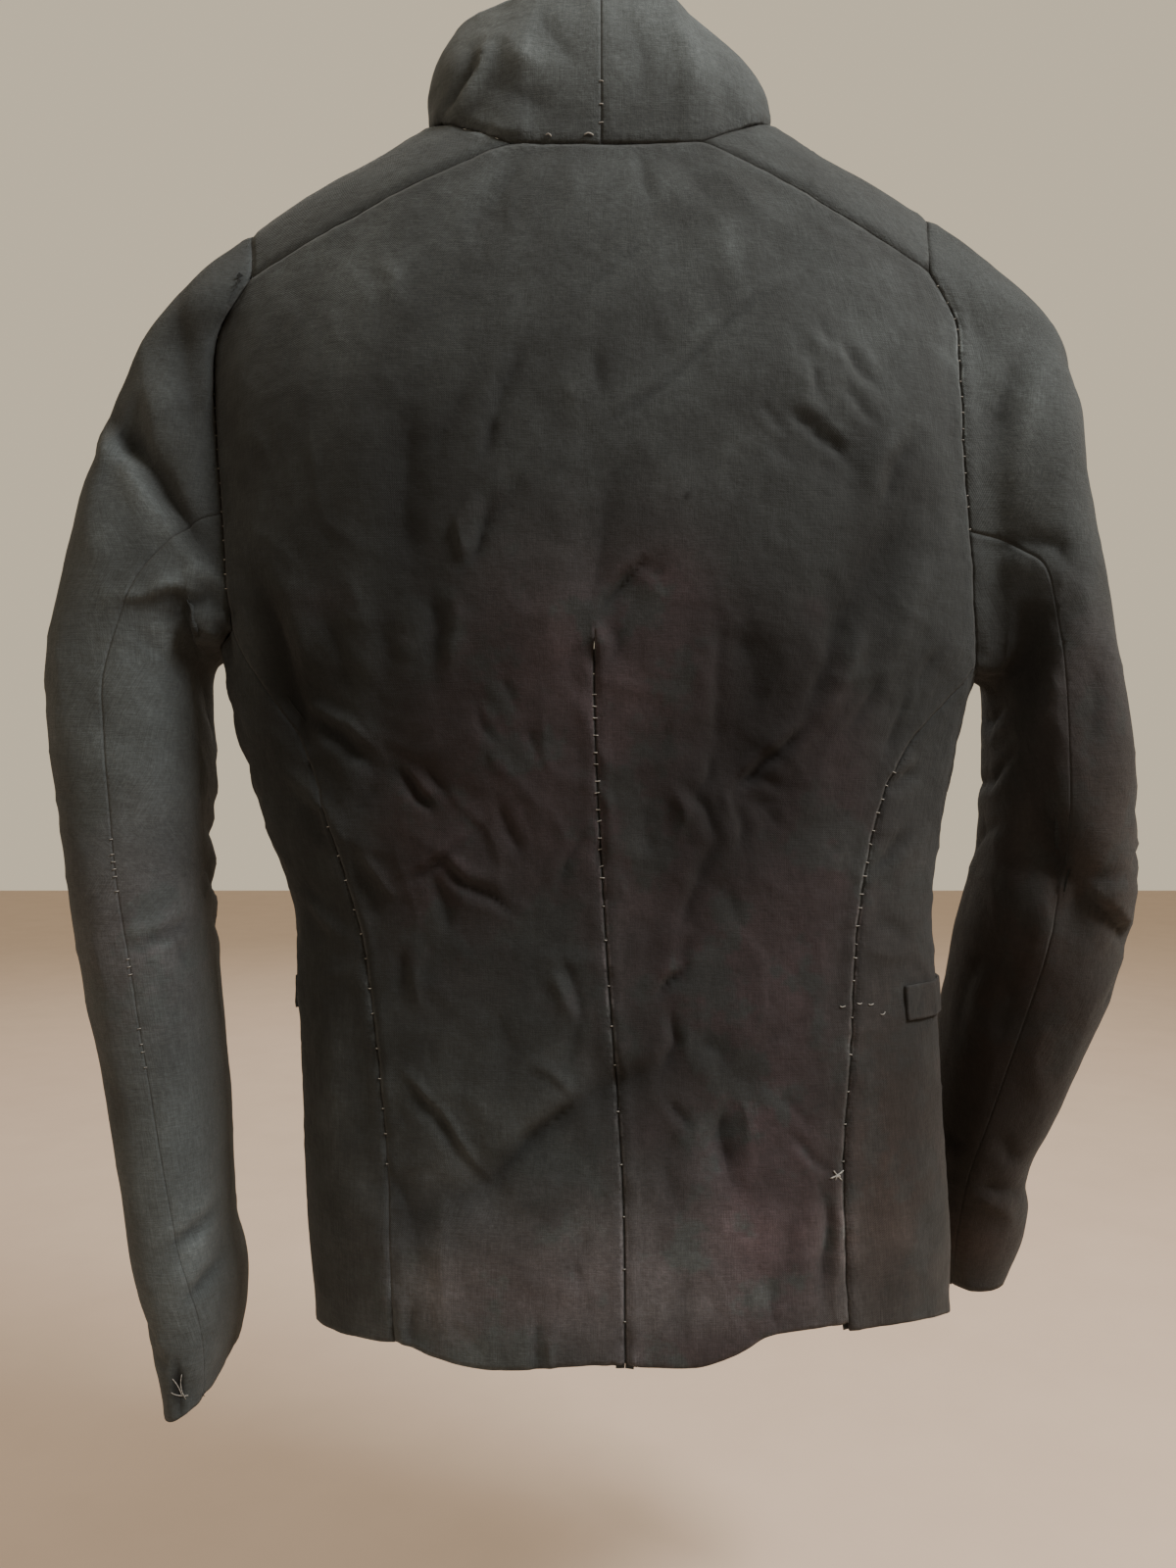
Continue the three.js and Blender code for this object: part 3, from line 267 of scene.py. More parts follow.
FRONT_CREASES = [
    ([(60, -120), (74, -160), (96, -196)], 9, -2.6),
    ([(-64, -124), (-86, -158), (-100, -206)], 8, -2.4),
    ([(120, -150), (134, -190), (150, -214)], 7, 1.8),
    ([(-126, -142), (-148, -176), (-156, -214)], 9, 1.7),
    ([(18, -336), (46, -326), (80, -306), (104, -276)], 5, -2.6),
    ([(22, -346), (54, -344), (92, -334), (122, -310)], 4.4, -2),
    ([(-14, -340), (-44, -326), (-78, -300)], 5.4, -2.4),
    ([(-18, -350), (-56, -352), (-96, -340), (-128, -318)], 4.4, -1.9),
    ([(26, -338), (60, -328), (92, -314)], 6, 1.4),
    ([(-24, -342), (-60, -336), (-94, -318)], 6, 1.3),
    ([(24, -440), (52, -452), (88, -450), (116, -436)], 5, -1.9),
    ([(-18, -438), (-48, -446), (-74, -438), (-102, -420)], 4.6, -2),
    ([(20, -536), (44, -556), (60, -590)], 6, -2.2),
    ([(-20, -534), (-40, -560), (-48, -600)], 7, -2),
    ([(112, -500), (126, -536), (130, -590)], 9, -2.2),
    ([(-118, -492), (-128, -540), (-126, -600)], 10, -2.4),
    ([(70, -470), (76, -520), (70, -566)], 9, 1.6),
    ([(-72, -476), (-82, -530), (-78, -586)], 9, 1.5),
    ([(150, -360), (136, -382), (132, -410)], 5, -2),
    ([(-148, -352), (-132, -372), (-126, -404)], 5, -2.1),
    ([(40, -388), (58, -400), (70, -420)], 3.4, -1.6),
    ([(-36, -392), (-50, -410), (-54, -430)], 3.4, -1.7),
    ([(176, -240), (164, -268), (150, -290)], 8, -3),
    ([(-178, -246), (-164, -270), (-150, -300)], 8, -3),
    # sleeves from the front
    ([(292, -150), (268, -170), (240, -200), (216, -232)], 7, -3.4),
    ([(244, -90), (236, -126), (230, -160)], 9, 1.8),
    ([(226, -330), (250, -342), (280, -336)], 4.4, -2.6),
    ([(222, -352), (246, -366), (276, -368)], 4, -2.2),
    ([(224, -376), (250, -384), (270, -396)], 4.6, -2),
    ([(228, -344), (252, -354), (274, -352)], 5, 1.4),
    ([(236, -470), (250, -500), (246, -530)], 8, -1.4),
    ([(222, -610), (240, -624), (262, -628)], 4, -2),
    ([(-228, -100), (-240, -140), (-236, -180)], 9, -2),
    ([(-214, -214), (-236, -232), (-262, -240)], 6, -2.8),
    ([(-240, -366), (-270, -374), (-304, -366)], 4.6, -2.8),
    ([(-236, -388), (-262, -404), (-296, -410)], 4.2, -2.6),
    ([(-238, -412), (-262, -434), (-288, -450)], 4.6, -2.2),
    ([(-240, -378), (-268, -390), (-298, -388)], 5.4, 1.6),
    ([(-240, -500), (-250, -530), (-246, -566)], 8, -1.5),
    ([(-236, -604), (-250, -612), (-262, -606)], 4, -1.6),
]

# Cloth that faces sideways, as points (y, z)

LEFT_CREASES = [
    ([(-30, -100), (-62, -128), (-90, -140)], 9, -1.8),
    ([(-20, -150), (-50, -176), (-84, -190), (-110, -188)], 7, -2.4),
    ([(-40, -300), (-66, -312), (-92, -306)], 5, -2.2),
    ([(-38, -330), (-60, -346), (-90, -350), (-112, -340)], 4.4, -2.6),
    ([(-44, -372), (-70, -378), (-98, -392)], 5, -1.8),
    ([(-50, -440), (-72, -470), (-80, -500)], 8, -1.6),
    ([(-54, -560), (-78, -572), (-98, -566)], 5, -1.8),
    ([(-30, -420), (-40, -460), (-36, -500)], 8, 1.4),
    ([(-60, -640), (-76, -652), (-96, -650)], 4, -1.5),
]

RIGHT_CREASES = [
    ([(-28, -110), (-58, -130), (-92, -132)], 9, -1.8),
    ([(-24, -168), (-56, -186), (-96, -200)], 7, -2.2),
    ([(-40, -270), (-64, -292), (-80, -320)], 9, -1.8),
    ([(-60, -372), (-84, -380), (-110, -372)], 4.6, -2.4),
    ([(-64, -398), (-90, -412), (-122, -414)], 4.2, -2.8),
    ([(-70, -424), (-98, -440), (-126, -446)], 5, -2.2),
    ([(-66, -386), (-92, -398), (-118, -396)], 5.4, 1.6),
    ([(-90, -500), (-108, -530), (-112, -566)], 8, -1.5),
    ([(-100, -600), (-120, -610), (-140, -604)], 4.6, -1.8),
]

# Wash fading, painted light and shade, and colour, as x, z, reach in x, reach in z and amount. Tone is in
# stops of light; its table mixes wash fading with painted light and shade, lighter at the top and darker
# in the hollows under the arms.

WASH_AND_PAINTED_SHADE = [
    (0, 84, 240, 84, 2.1),
    (-180, -40, 110, 80, 0.55),
    (-150, -120, 60, 60, 0.15),
    (150, -60, 110, 60, 0.9),
    (105, -200, 34, 70, -0.85),
    (100, -290, 80, 70, -0.75),
    (-84, -310, 40, 66, -2),
    (-60, -372, 26, 36, -1),
    (-142, -230, 40, 60, -0.9),
    (20, -330, 50, 80, 0.5),
    (140, -350, 50, 80, -0.55),
    (50, -410, 110, 60, -0.5),
    (170, -290, 22, 60, -0.8),
    (-40, -500, 50, 40, -0.35),
    (-95, -600, 70, 70, 0.9),
    (30, -625, 110, 60, 1.8),
    (60, -510, 60, 50, 0.45),
    (-150, -540, 34, 110, -0.1),
    (280, -170, 70, 130, 0.85),
    (268, -380, 50, 160, 1.5),
    (240, -620, 60, 140, 1.6),
    (-240, -120, 60, 110, 1.25),
    (-290, -300, 40, 120, 0.25),
    (-300, -380, 30, 50, 0.6),
    (-238, -290, 26, 70, -0.7),
    (-244, -520, 60, 110, -1.3),
    (-240, -640, 40, 30, 0.8),
    (-92, -327, 26, 34, -0.5),
    (-175, -307, 22, 30, -0.35),
    (-284, -337, 34, 40, -0.35),
    (172, -275, 24, 58, -0.45),
    (7, -68, 40, 26, -0.2),
    (152, -46, 40, 24, -0.2),
]

PLUMS = [
    (-20, -330, 80, 60, 0.8),
    (-38, -262, 30, 34, 0.6),
    (98, -352, 26, 50, 0.6),
    (60, -306, 34, 20, 0.35),
    (-90, -410, 50, 80, 0.7),
    (-98, -560, 34, 100, 0.8),
    (30, -606, 90, 50, 0.35),
    (-50, -650, 44, 14, 0.5),
    (150, -250, 16, 10, 0.4),
    (-114, -256, 8, 8, 0.5),
    (-24, -530, 14, 12, 0.4),
    (-270, -300, 30, 50, 0.5),
    (262, -430, 40, 60, 0.3),
    (49, -275, 44, 62, 0.6),
    (-24, -262, 36, 50, 0.6),
    (90, -400, 30, 52, 0.6),
    (28, -374, 44, 74, 0.6),
    (-76, -374, 52, 80, 0.7),
    (-45, -452, 52, 52, 0.5),
    (-123, -348, 24, 62, 0.7),
    (-66, -556, 60, 80, 0.4),
    (49, -624, 70, 26, 0.2),
]

BROWNS = [
    (-156, -560, 30, 100, 0.7),
    (-244, -500, 60, 130, 1),
    (-236, -636, 40, 30, 0.5),
    (-300, -400, 30, 60, 0.3),
    (98, -362, 14, 24, 0.4),
    (-284, -345, 34, 40, 0.35),
]

# Where seams are rubbed pale, where they hardly show, and where painted shade stands for openings through
# the cloth, such as the gap of the cuff vent and small holes

RUBBED = [
    (205, -170, 22, 110, 1),
    (-190, -135, 24, 70, 1.1),
    (-4, -480, 14, 190, 0.8),
    (-140, -430, 24, 110, 0.9),
    (125, -440, 24, 90, 0.7),
    (120, -40, 40, 26, 0.45),
    (-118, -38, 36, 26, 0.7),
    (5, 2, 40, 6, 0.35),
    (250, -242, 40, 12, 0.8),
    (-123, -600, 12, 50, 0.7),
]

FAINT = [
    (180, -50, 30, 24, 1),
    (-174, -46, 26, 22, 1),
    (84, -2, 30, 13, 1),
    (-74, -2, 32, 13, 1),
    (105, -26, 50, 26, 0.7),
    (-80, -20, 46, 22, 0.75),
    (4, 52, 16, 40, 0.95),
    (200, -240, 30, 55, 0.9),
    (-196, -245, 30, 60, 0.9),
    (168, -320, 42, 52, 0.9),
    (-176, -300, 22, 26, 0.5),
    (112, -592, 20, 60, 0.9),
]
FAINT_SLEEVE = 0.9

OPENING_SHADES = [
    (240, -690, 2.6, 8, 1),
    (4, -280, 1.6, 4, 0.5),
    (-45, -198, 0.9, 1.2, 0.9),
]


# Outer sheet of a cloth node

# Slit in the centre seam, as points (z, x) in millimetres from the hem up
CENTRE_LINE = [(-654, -12.6), (-580, -12), (-503, -7.5), (-425, -2), (-283, 4)]
SLIT_TOP = -275
SLIT_REACH = 7


def on_centre_seam(point):
    """Whether a point lies at the slit in the centre seam."""
    heights = [row[0] for row in CENTRE_LINE]
    middle = np.interp(point[2] / MM, heights, [row[1] for row in CENTRE_LINE])
    return point[2] < SLIT_TOP * MM and abs(point[0] / MM - middle) < SLIT_REACH


def goes_through(edge):
    """Whether an edge runs through the cloth's thickness, from one layer to the other."""
    first, second = edge.verts
    if edge.calc_length() > THROUGH:
        return False
    way = (second.co - first.co).normalized()
    return way.dot(first.normal) * way.dot(second.normal) < AGAINST


def layers_of(bm):
    """The two layers of a piece, each a list of faces, once its rim is taken away."""
    rim = [face for face in bm.faces if any(goes_through(edge) for edge in face.edges)]
    bmesh.ops.delete(bm, geom=rim, context="FACES")
    seen = set()
    found = []
    for start in bm.faces:
        if start in seen:
            continue
        seen.add(start)
        stack = [start]
        layer = []
        while stack:
            face = stack.pop()
            layer.append(face)
            for edge in face.edges:
                near = [other for other in edge.link_faces if other not in seen]
                seen.update(near)
                stack.extend(near)
        found.append(layer)
    return found


def sleeve_line(side):
    """Middle of one sleeve at set heights, as an array of points from low to high."""
    spots = []
    for half in ("sleeve_top_", "sleeve_under_"):
        spots += [tuple(vertex.co) for vertex in nodes[half + side].data.vertices]
    spots = np.array(spots)
    marks = np.linspace(spots[:, 2].min(), spots[:, 2].max(), 24)
    rows = []
    for low, high in zip(marks[:-1], marks[1:]):
        level = spots[(spots[:, 2] >= low) & (spots[:, 2] < high)]
        if len(level):
            rows.append([level[:, 0].mean(), level[:, 1].mean(), (low + high) / 2])
    return np.array(rows)


sleeve_lines = {side: sleeve_line(side) for side in ("left", "right")}


def middle_at(name, heights):
    """Middle of the body or of the sleeve that a piece belongs to, at each height."""
    if not name.startswith("sleeve"):
        flat = np.tile([AXIS_X * MM, AXIS_Y * MM], (len(heights), 1))
        return np.column_stack([flat, heights])
    line = sleeve_lines[name.rsplit("_", 1)[1]]
    columns = [np.interp(heights, line[:, 2], line[:, axis]) for axis in (0, 1)]
    return np.column_stack([*columns, heights])


def outwardness(group, name):
    """How much a group of faces looks away from the middle of the body or of the sleeve."""
    centres = np.array([tuple(face.calc_center_median()) for face in group])
    ways = np.array([tuple(face.normal * face.calc_area()) for face in group])
    return float((ways * (centres - middle_at(name, centres[:, 2]))).sum())


def outer_sheet(node):
    """A mesh of the node's outer layer alone, in quads where the cut allows."""
    bm = bmesh.new()
    bm.from_mesh(node.data)
    bmesh.ops.remove_doubles(bm, verts=bm.verts, dist=WELD)
    bm.normal_update()
    layers = sorted(layers_of(bm), key=lambda layer: -outwardness(layer, node.name))
    inner = [face for layer in layers[1:] for face in layer]
    bmesh.ops.delete(bm, geom=inner, context="FACES")
    bmesh.ops.join_triangles(
        bm,
        faces=bm.faces,
        angle_face_threshold=math.radians(50),
        angle_shape_threshold=math.radians(70),
    )
    if node.name == "back":
        corner = bm.verts.layers.float.new("crease_vert")
        for vertex in bm.verts:
            if vertex.is_boundary and on_centre_seam(vertex.co):
                vertex[corner] = 1.0
    mesh = bpy.data.meshes.new(node.name + "_sheet")
    bm.to_mesh(mesh)
    bm.free()
    return mesh


def read(things, name, width=3):
    """One field of a mesh's vertices or edges, as an array with a row for each."""
    out = np.empty(len(things) * width, np.float32)
    things.foreach_get(name, out)
    return out.reshape(-1, width).astype(float)


def write_points(mesh, points):
    mesh.vertices.foreach_set("co", points.astype(np.float32).ravel())
    mesh.update()


def link(name, mesh):
    thing = bpy.data.objects.new(name, mesh)
    bpy.context.scene.collection.objects.link(thing)
    return thing


def smooth_sheet(name, mesh, level):
    """The sheet subdivided so that its smooth surface still passes through the CAD points."""
    thing = link(name, mesh)
    cut = thing.modifiers.new("Smooth", "SUBSURF")
    cut.levels = cut.render_levels = level
    cut.boundary_smooth = "PRESERVE_CORNERS"
    goal = read(mesh.vertices, "co")
    cage = goal.copy()
    for _ in range(3):
        view = bpy.context.evaluated_depsgraph_get()
        made = thing.evaluated_get(view).data
        cage += goal - read(made.vertices, "co")[: len(goal)]
        write_points(mesh, cage)
        thing.update_tag()
        bpy.context.view_layer.update()
    view = bpy.context.evaluated_depsgraph_get()
    fine = bpy.data.meshes.new_from_object(thing.evaluated_get(view))
    thing.modifiers.clear()
    thing.data = fine
    fine.polygons.foreach_set("use_smooth", [True] * len(fine.polygons))
    return thing


def edge_points(mesh):
    """First and second points of the sheet's open edges."""
    pairs = read(mesh.edges, "vertices", 2).astype(int)
    uses = np.zeros(len(pairs), int)
    loops = np.empty(len(mesh.loops), np.int32)
    mesh.loops.foreach_get("edge_index", loops)
    np.add.at(uses, loops, 1)
    ends = pairs[uses == 1]
    at = read(mesh.vertices, "co")
    return at[ends[:, 0]], at[ends[:, 1]]


def tree_of(points):
    tree = kdtree.KDTree(len(points))
    for index, point in enumerate(points):
        tree.insert(point, index)
    tree.balance()
    return tree


def spaced(starts, ends, step=1.0 * MM):
    """Points every step along the given edges."""
    rows = []
    for start, end in zip(starts, ends):
        count = max(1, int(np.linalg.norm(end - start) / step))
        share = (np.arange(count) / count)[:, None]
        rows.append(start + (end - start) * share)
    return np.concatenate(rows)


def reach_to(tree, points):
    return np.array([tree.find(point)[2] for point in points])


# Surface relief

def soft(value, low, high):
    """Smooth step from 0 at low to 1 at high."""
    share = np.clip((value - low) / (high - low), 0, 1)
    return share * share * (3 - 2 * share)


def noise_at(points, size, seed):
    """Smooth noise from -1 to 1 at the given size in millimetres."""
    scale = 1 / (size * MM)
    shift = Vector((seed * 3.7, seed * 1.3, seed * 5.1))
    return np.array([noise.noise(Vector(point) * scale + shift) for point in points])


def crease_field(flat, rows):
    """Height of the listed creases at flat points, both in millimetres."""
    height = np.zeros(len(flat))
    for line, width, depth in rows:
        line = np.array(line, float)
        low = line.min(0) - 4 * width
        high = line.max(0) + 4 * width
        near = np.nonzero(((flat > low) & (flat < high)).all(1))[0]
        if len(near) == 0:
            continue
        at = flat[near]
        best = np.full(len(at), 1e9)
        along = np.zeros(len(at))
        side = np.zeros(len(at))
        steps = np.linalg.norm(np.diff(line, axis=0), axis=1)
        whole = steps.sum()
        start = 0
        for first, second, step in zip(line[:-1], line[1:], steps):
            way = (second - first) / step
            share = np.clip((at - first) @ way, 0, step)
            off = at - first - share[:, None] * way
            gap = np.hypot(off[:, 0], off[:, 1])
            closer = gap < best
            best = np.where(closer, gap, best)
            along = np.where(closer, start + share, along)
            turn = way[0] * off[:, 1] - way[1] * off[:, 0]
            side = np.where(closer, np.sign(turn), side)
            start += step
        ends = np.minimum(along, whole - along)
        fade = 0.25 + 0.75 * soft(ends, 0, 0.3 * whole)
        core = 0.55 * np.exp(-((best / width) ** 2)) + 0.6 * np.exp(-best / (0.75 * width))
        shoulder = np.exp(-(((best * side - 1.9 * width) / (1.3 * width)) ** 2))
        height[near] += depth * fade * (core - 0.35 * shoulder)
    return height


# Pieces that lie on others, so their edges are no seams
SEWN_OVER = {"lapel_left", "lapel_right", "pocket_left", "pocket_right", "vent_left", "vent_right"}
# By the first word of a piece's name: how blotched it is and how crumpled it is
LIVELY = {"back": 1.0, "side": 1.0}
CALM = {"collar": 0.45, "sleeve": 0.62, "front": 0.7}

# Relief in millimetres: how high each part of it stands, and how far it reaches
WAIST_Z = -355
WAIST_REACH = 130
BROAD = 1.4
RIDGES = 0.9
DENTS = 0.45
FINE = 0.28
GROOVE = 0.9
GROOVE_REACH = 1.7
ROLL = 0.45
ROLL_AT = 5.5
ROLL_REACH = 3
PUCKER_REACH = 9
HEM_ROLL = 0.35
HEM_REACH = 6
HEM_PUCKER = 0.7
HEM_PUCKER_REACH = 10


def bell(distance, reach):
    return np.exp(-((distance / reach) ** 2))


def lines_in(values):
    """Noise turned into narrow lines, 1 on each line and 0 off it."""
    return np.clip(1 - np.abs(values) * 3.2, 0, 1) ** 2


def creases_at(mm, shake, out):
    """Height of the creases of all four sides, each where the cloth faces that way."""
    by_back = mm[:, [0, 2]] + shake
    by_side = mm[:, [1, 2]] + shake
    height = soft(out[:, 1], 0.05, 0.5) * crease_field(by_back, BACK_CREASES)
    height += soft(-out[:, 1], 0.05, 0.5) * crease_field(by_back, FRONT_CREASES)
    height += soft(out[:, 0], 0.45, 0.9) * crease_field(by_side, LEFT_CREASES)
    height += soft(-out[:, 0], 0.45, 0.9) * crease_field(by_side, RIGHT_CREASES)
    return height


def relief(points, out, sewn, free, faint, name):
    """Height in millimetres over the plain form, and the share of it that sharp creases give."""
    mm = points / MM
    shake = np.stack([noise_at(points, 14, 1), noise_at(points, 14, 2)], 1) * 1.6
    shake += np.stack([noise_at(points, 42, 3), noise_at(points, 42, 4)], 1) * 2.4
    sharp = creases_at(mm, shake, out)
    calm = CALM.get(name.split("_")[0], 1.0)
    rough = calm * (0.45 + 0.75 * bell(mm[:, 2] - WAIST_Z, WAIST_REACH))
    broad = noise_at(points, 64, 5) * BROAD * calm
    ridged = lines_in(noise_at(points, 38, 6)) * RIDGES
    dents = -lines_in(noise_at(points, 22, 7)) * DENTS
    fine = noise_at(points, 9, 8) * FINE
    crumple = broad + rough * (ridged + dents + fine)
    if name in SEWN_OVER:
        return sharp + crumple, sharp
    pucker = noise_at(points, 11, 9) * 0.9 + noise_at(points, 5, 10) * 0.35
    seam = -GROOVE * bell(sewn, GROOVE_REACH) + ROLL * bell(sewn - ROLL_AT, ROLL_REACH)
    seam += pucker * bell(sewn, PUCKER_REACH)
    seam *= 1 - 0.85 * faint
    hem = HEM_ROLL * bell(free, HEM_REACH) + pucker * HEM_PUCKER * bell(free, HEM_PUCKER_REACH)
    return sharp + crumple + seam + hem, sharp


def patches(mm, rows):
    """Sum of the table's soft patches at each point in millimetres."""
    value = np.zeros(len(mm))
    for x, z, wide, high, amount in rows:
        across = ((mm[:, 0] - x) / wide) ** 2
        value += amount * np.exp(-across - ((mm[:, 2] - z) / high) ** 2)
    return value


def store(mesh, name, values):
    kind = "FLOAT" if values.ndim == 1 else "FLOAT_VECTOR"
    layer = mesh.attributes.new(name, kind, "POINT")
    field = "value" if values.ndim == 1 else "vector"
    layer.data.foreach_set(field, values.astype(np.float32).ravel())


SLEEVE_RADIUS = 0.075
BODY_RADIUS = 0.17
PIECE_STEP = 0.37


def cloth_coordinates(points, name):
    """Across and along the cloth, in metres, with a number that sets the pieces apart."""
    if name.startswith("sleeve"):
        middle = middle_at(name, points[:, 2])
        around = np.arctan2(points[:, 0] - middle[:, 0], points[:, 1] - middle[:, 1])
        across = around * SLEEVE_RADIUS
    elif name.startswith("lapel"):
        across = points[:, 0]
    else:
        around = np.arctan2(points[:, 0] - AXIS_X * MM, points[:, 1] - AXIS_Y * MM)
        across = around * BODY_RADIUS
    order = CLOTH.index(name) * PIECE_STEP
    return np.stack([across, points[:, 2], np.full(len(points), order)], 1)


CLOTH = [
    "back", "side_left", "side_right", "vent_left", "vent_right", "front_left", "front_right",
    "lapel_left", "lapel_right", "collar_left", "collar_right", "sleeve_top_left",
    "sleeve_top_right", "sleeve_under_left", "sleeve_under_right", "pocket_left", "pocket_right",
]

# Material graph

class Graph:
    """Short names for the nodes of one material."""

    def __init__(self, name):
        self.material = bpy.data.materials.new(name)
        self.material.use_nodes = True
        self.tree = self.material.node_tree
        self.shader = self.tree.nodes["Principled BSDF"]

    def node(self, kind, **fields):
        made = self.tree.nodes.new(kind)
        for key, value in fields.items():
            setattr(made, key, value)
        return made

    def feed(self, socket, value):
        if isinstance(value, bpy.types.NodeSocket):
            self.tree.links.new(value, socket)
        else:
            socket.default_value = value

    def maths(self, action, *values):
        made = self.node("ShaderNodeMath", operation=action)
        for socket, value in zip(made.inputs, values):
            self.feed(socket, value)
        return made.outputs[0]

    def vector(self, action, *values):
        made = self.node("ShaderNodeVectorMath", operation=action)
        for socket, value in zip(made.inputs, values):
            self.feed(socket, value)
        return made.outputs[0]

    def attribute(self, name, output="Fac"):
        return self.node("ShaderNodeAttribute", attribute_name=name).outputs[output]

    def noise(self, place, scale, detail=2.0, rough=0.5):
        made = self.node("ShaderNodeTexNoise")
        self.feed(made.inputs["Vector"], place)
        made.inputs["Scale"].default_value = scale
        made.inputs["Detail"].default_value = detail
        made.inputs["Roughness"].default_value = rough
        return made.outputs["Fac"]

    def steps(self, value, low, high, start=0.0, end=1.0):
        made = self.node("ShaderNodeMapRange", interpolation_type="SMOOTHSTEP")
        for socket, given in zip(made.inputs, (value, low, high, start, end)):
            self.feed(socket, given)
        return made.outputs[0]

    def mix(self, share, first, second):
        made = self.node("ShaderNodeMix", data_type="RGBA")
        self.feed(made.inputs[0], share)
        self.feed(made.inputs[6], first)
        self.feed(made.inputs[7], second)
        return made.outputs[2]

    def bump(self, height, distance, strength, below=None):
        made = self.node("ShaderNodeBump")
        made.inputs["Distance"].default_value = distance
        made.inputs["Strength"].default_value = strength
        self.feed(made.inputs["Height"], height)
        if below is not None:
            self.feed(made.inputs["Normal"], below)
        return made.outputs[0]


OLIVE = (0.0143, 0.0166, 0.0172, 1)
PLUM = (0.0190, 0.0139, 0.0157, 1)
BROWN = (0.0190, 0.0125, 0.0108, 1)
LINT = (0.34, 0.33, 0.31, 1)
YARN_MM = 0.95

# How much each pattern changes the cloth's brightness, in stops of light
CLOUD = 2.1
MOTTLE = 2.9
WARP = 1.5
WEFT = 1.2
GRIT = 1.3
WEAVE = 0.10
# Crease ridges lighter, partly wear and partly painted highlight; crease troughs darker with painted
# shade
CREASE_WEAR_AND_SHADING = 0.24
RUB = 1.7
# Painted shade in the gap of a seam
SEAM_GAP_SHADE = -1.7
RIM = 0.7
# Painted shade for openings through the cloth
OPENING_SHADE = -4


def yarns(g, cloth):
    """Streaks along the warp and the weft, and the grid in which they cross."""
    warp = g.noise(g.vector("MULTIPLY", cloth, (1900, 70, 9)), 1.0, 3.0, 0.6)
    weft = g.noise(g.vector("MULTIPLY", cloth, (75, 1700, 11)), 1.0, 3.0, 0.6)
    turns = 2 * math.pi / (YARN_MM * MM)
    axes = g.node("ShaderNodeSeparateXYZ")
    g.feed(axes.inputs[0], cloth)
    over = g.maths("SINE", g.maths("MULTIPLY", axes.outputs[0], turns))
    under = g.maths("SINE", g.maths("MULTIPLY", axes.outputs[1], turns))
    return warp, weft, g.maths("MULTIPLY", over, under)


def seam_tone(g, tone, place, sewn, plain):
    """Tone with pale rubbed lines at seams, painted shade in the gaps of seams, and pale free edges."""
    broken = g.noise(place, 150, 3.0, 0.7)
    line = g.maths("MULTIPLY", g.steps(sewn, 0.35, 0.8), g.steps(sewn, 1.5, 2.5, 1.0, 0.0))
    rub = g.maths("MULTIPLY", line, g.steps(broken, 0.36, 0.58))
    rub = g.maths("MULTIPLY", g.maths("MULTIPLY", rub, plain), g.attribute("rubbed"))
    tone = g.maths("MULTIPLY_ADD", rub, RUB, tone)
    # Painted shade darkens the cloth right at the seam line
    tone = g.maths("MULTIPLY_ADD", g.steps(sewn, 0.2, 0.6, SEAM_GAP_SHADE, 0.0), plain, tone)
    edge = g.steps(g.attribute("free"), 0.6, 3.0, 1.0, 0.0)
    rim = g.maths("MULTIPLY", edge, g.steps(broken, 0.38, 0.66))
    return g.maths("MULTIPLY_ADD", rim, RIM, tone)


def dyed(g, place):
    """Colour of the cloth at even brightness: olive black with patches of plum and brown."""
    stain = g.steps(g.noise(place, 19, 4.0, 0.7), 0.40, 0.50)
    plum = g.maths("MULTIPLY", g.attribute("plum"), g.maths("MULTIPLY_ADD", stain, 0.9, 0.15))
    brown = g.maths("MULTIPLY", g.attribute("brown"), g.maths("MULTIPLY_ADD", stain, 0.5, 0.5))
    return g.mix(brown, g.mix(plum, OLIVE, PLUM), BROWN)


def lint_at(g, place):
    """Small pale specks, few and far between."""
    specks = g.node("ShaderNodeTexVoronoi")
    g.feed(specks.inputs["Vector"], place)
    specks.inputs["Scale"].default_value = 62
    dot = g.steps(specks.outputs["Distance"], 0.022, 0.038, 1.0, 0.0)
    chosen = g.node("ShaderNodeSeparateXYZ")
    g.feed(chosen.inputs[0], specks.outputs["Color"])
    return g.maths("MULTIPLY", dot, g.steps(chosen.outputs[0], 0.955, 0.965))


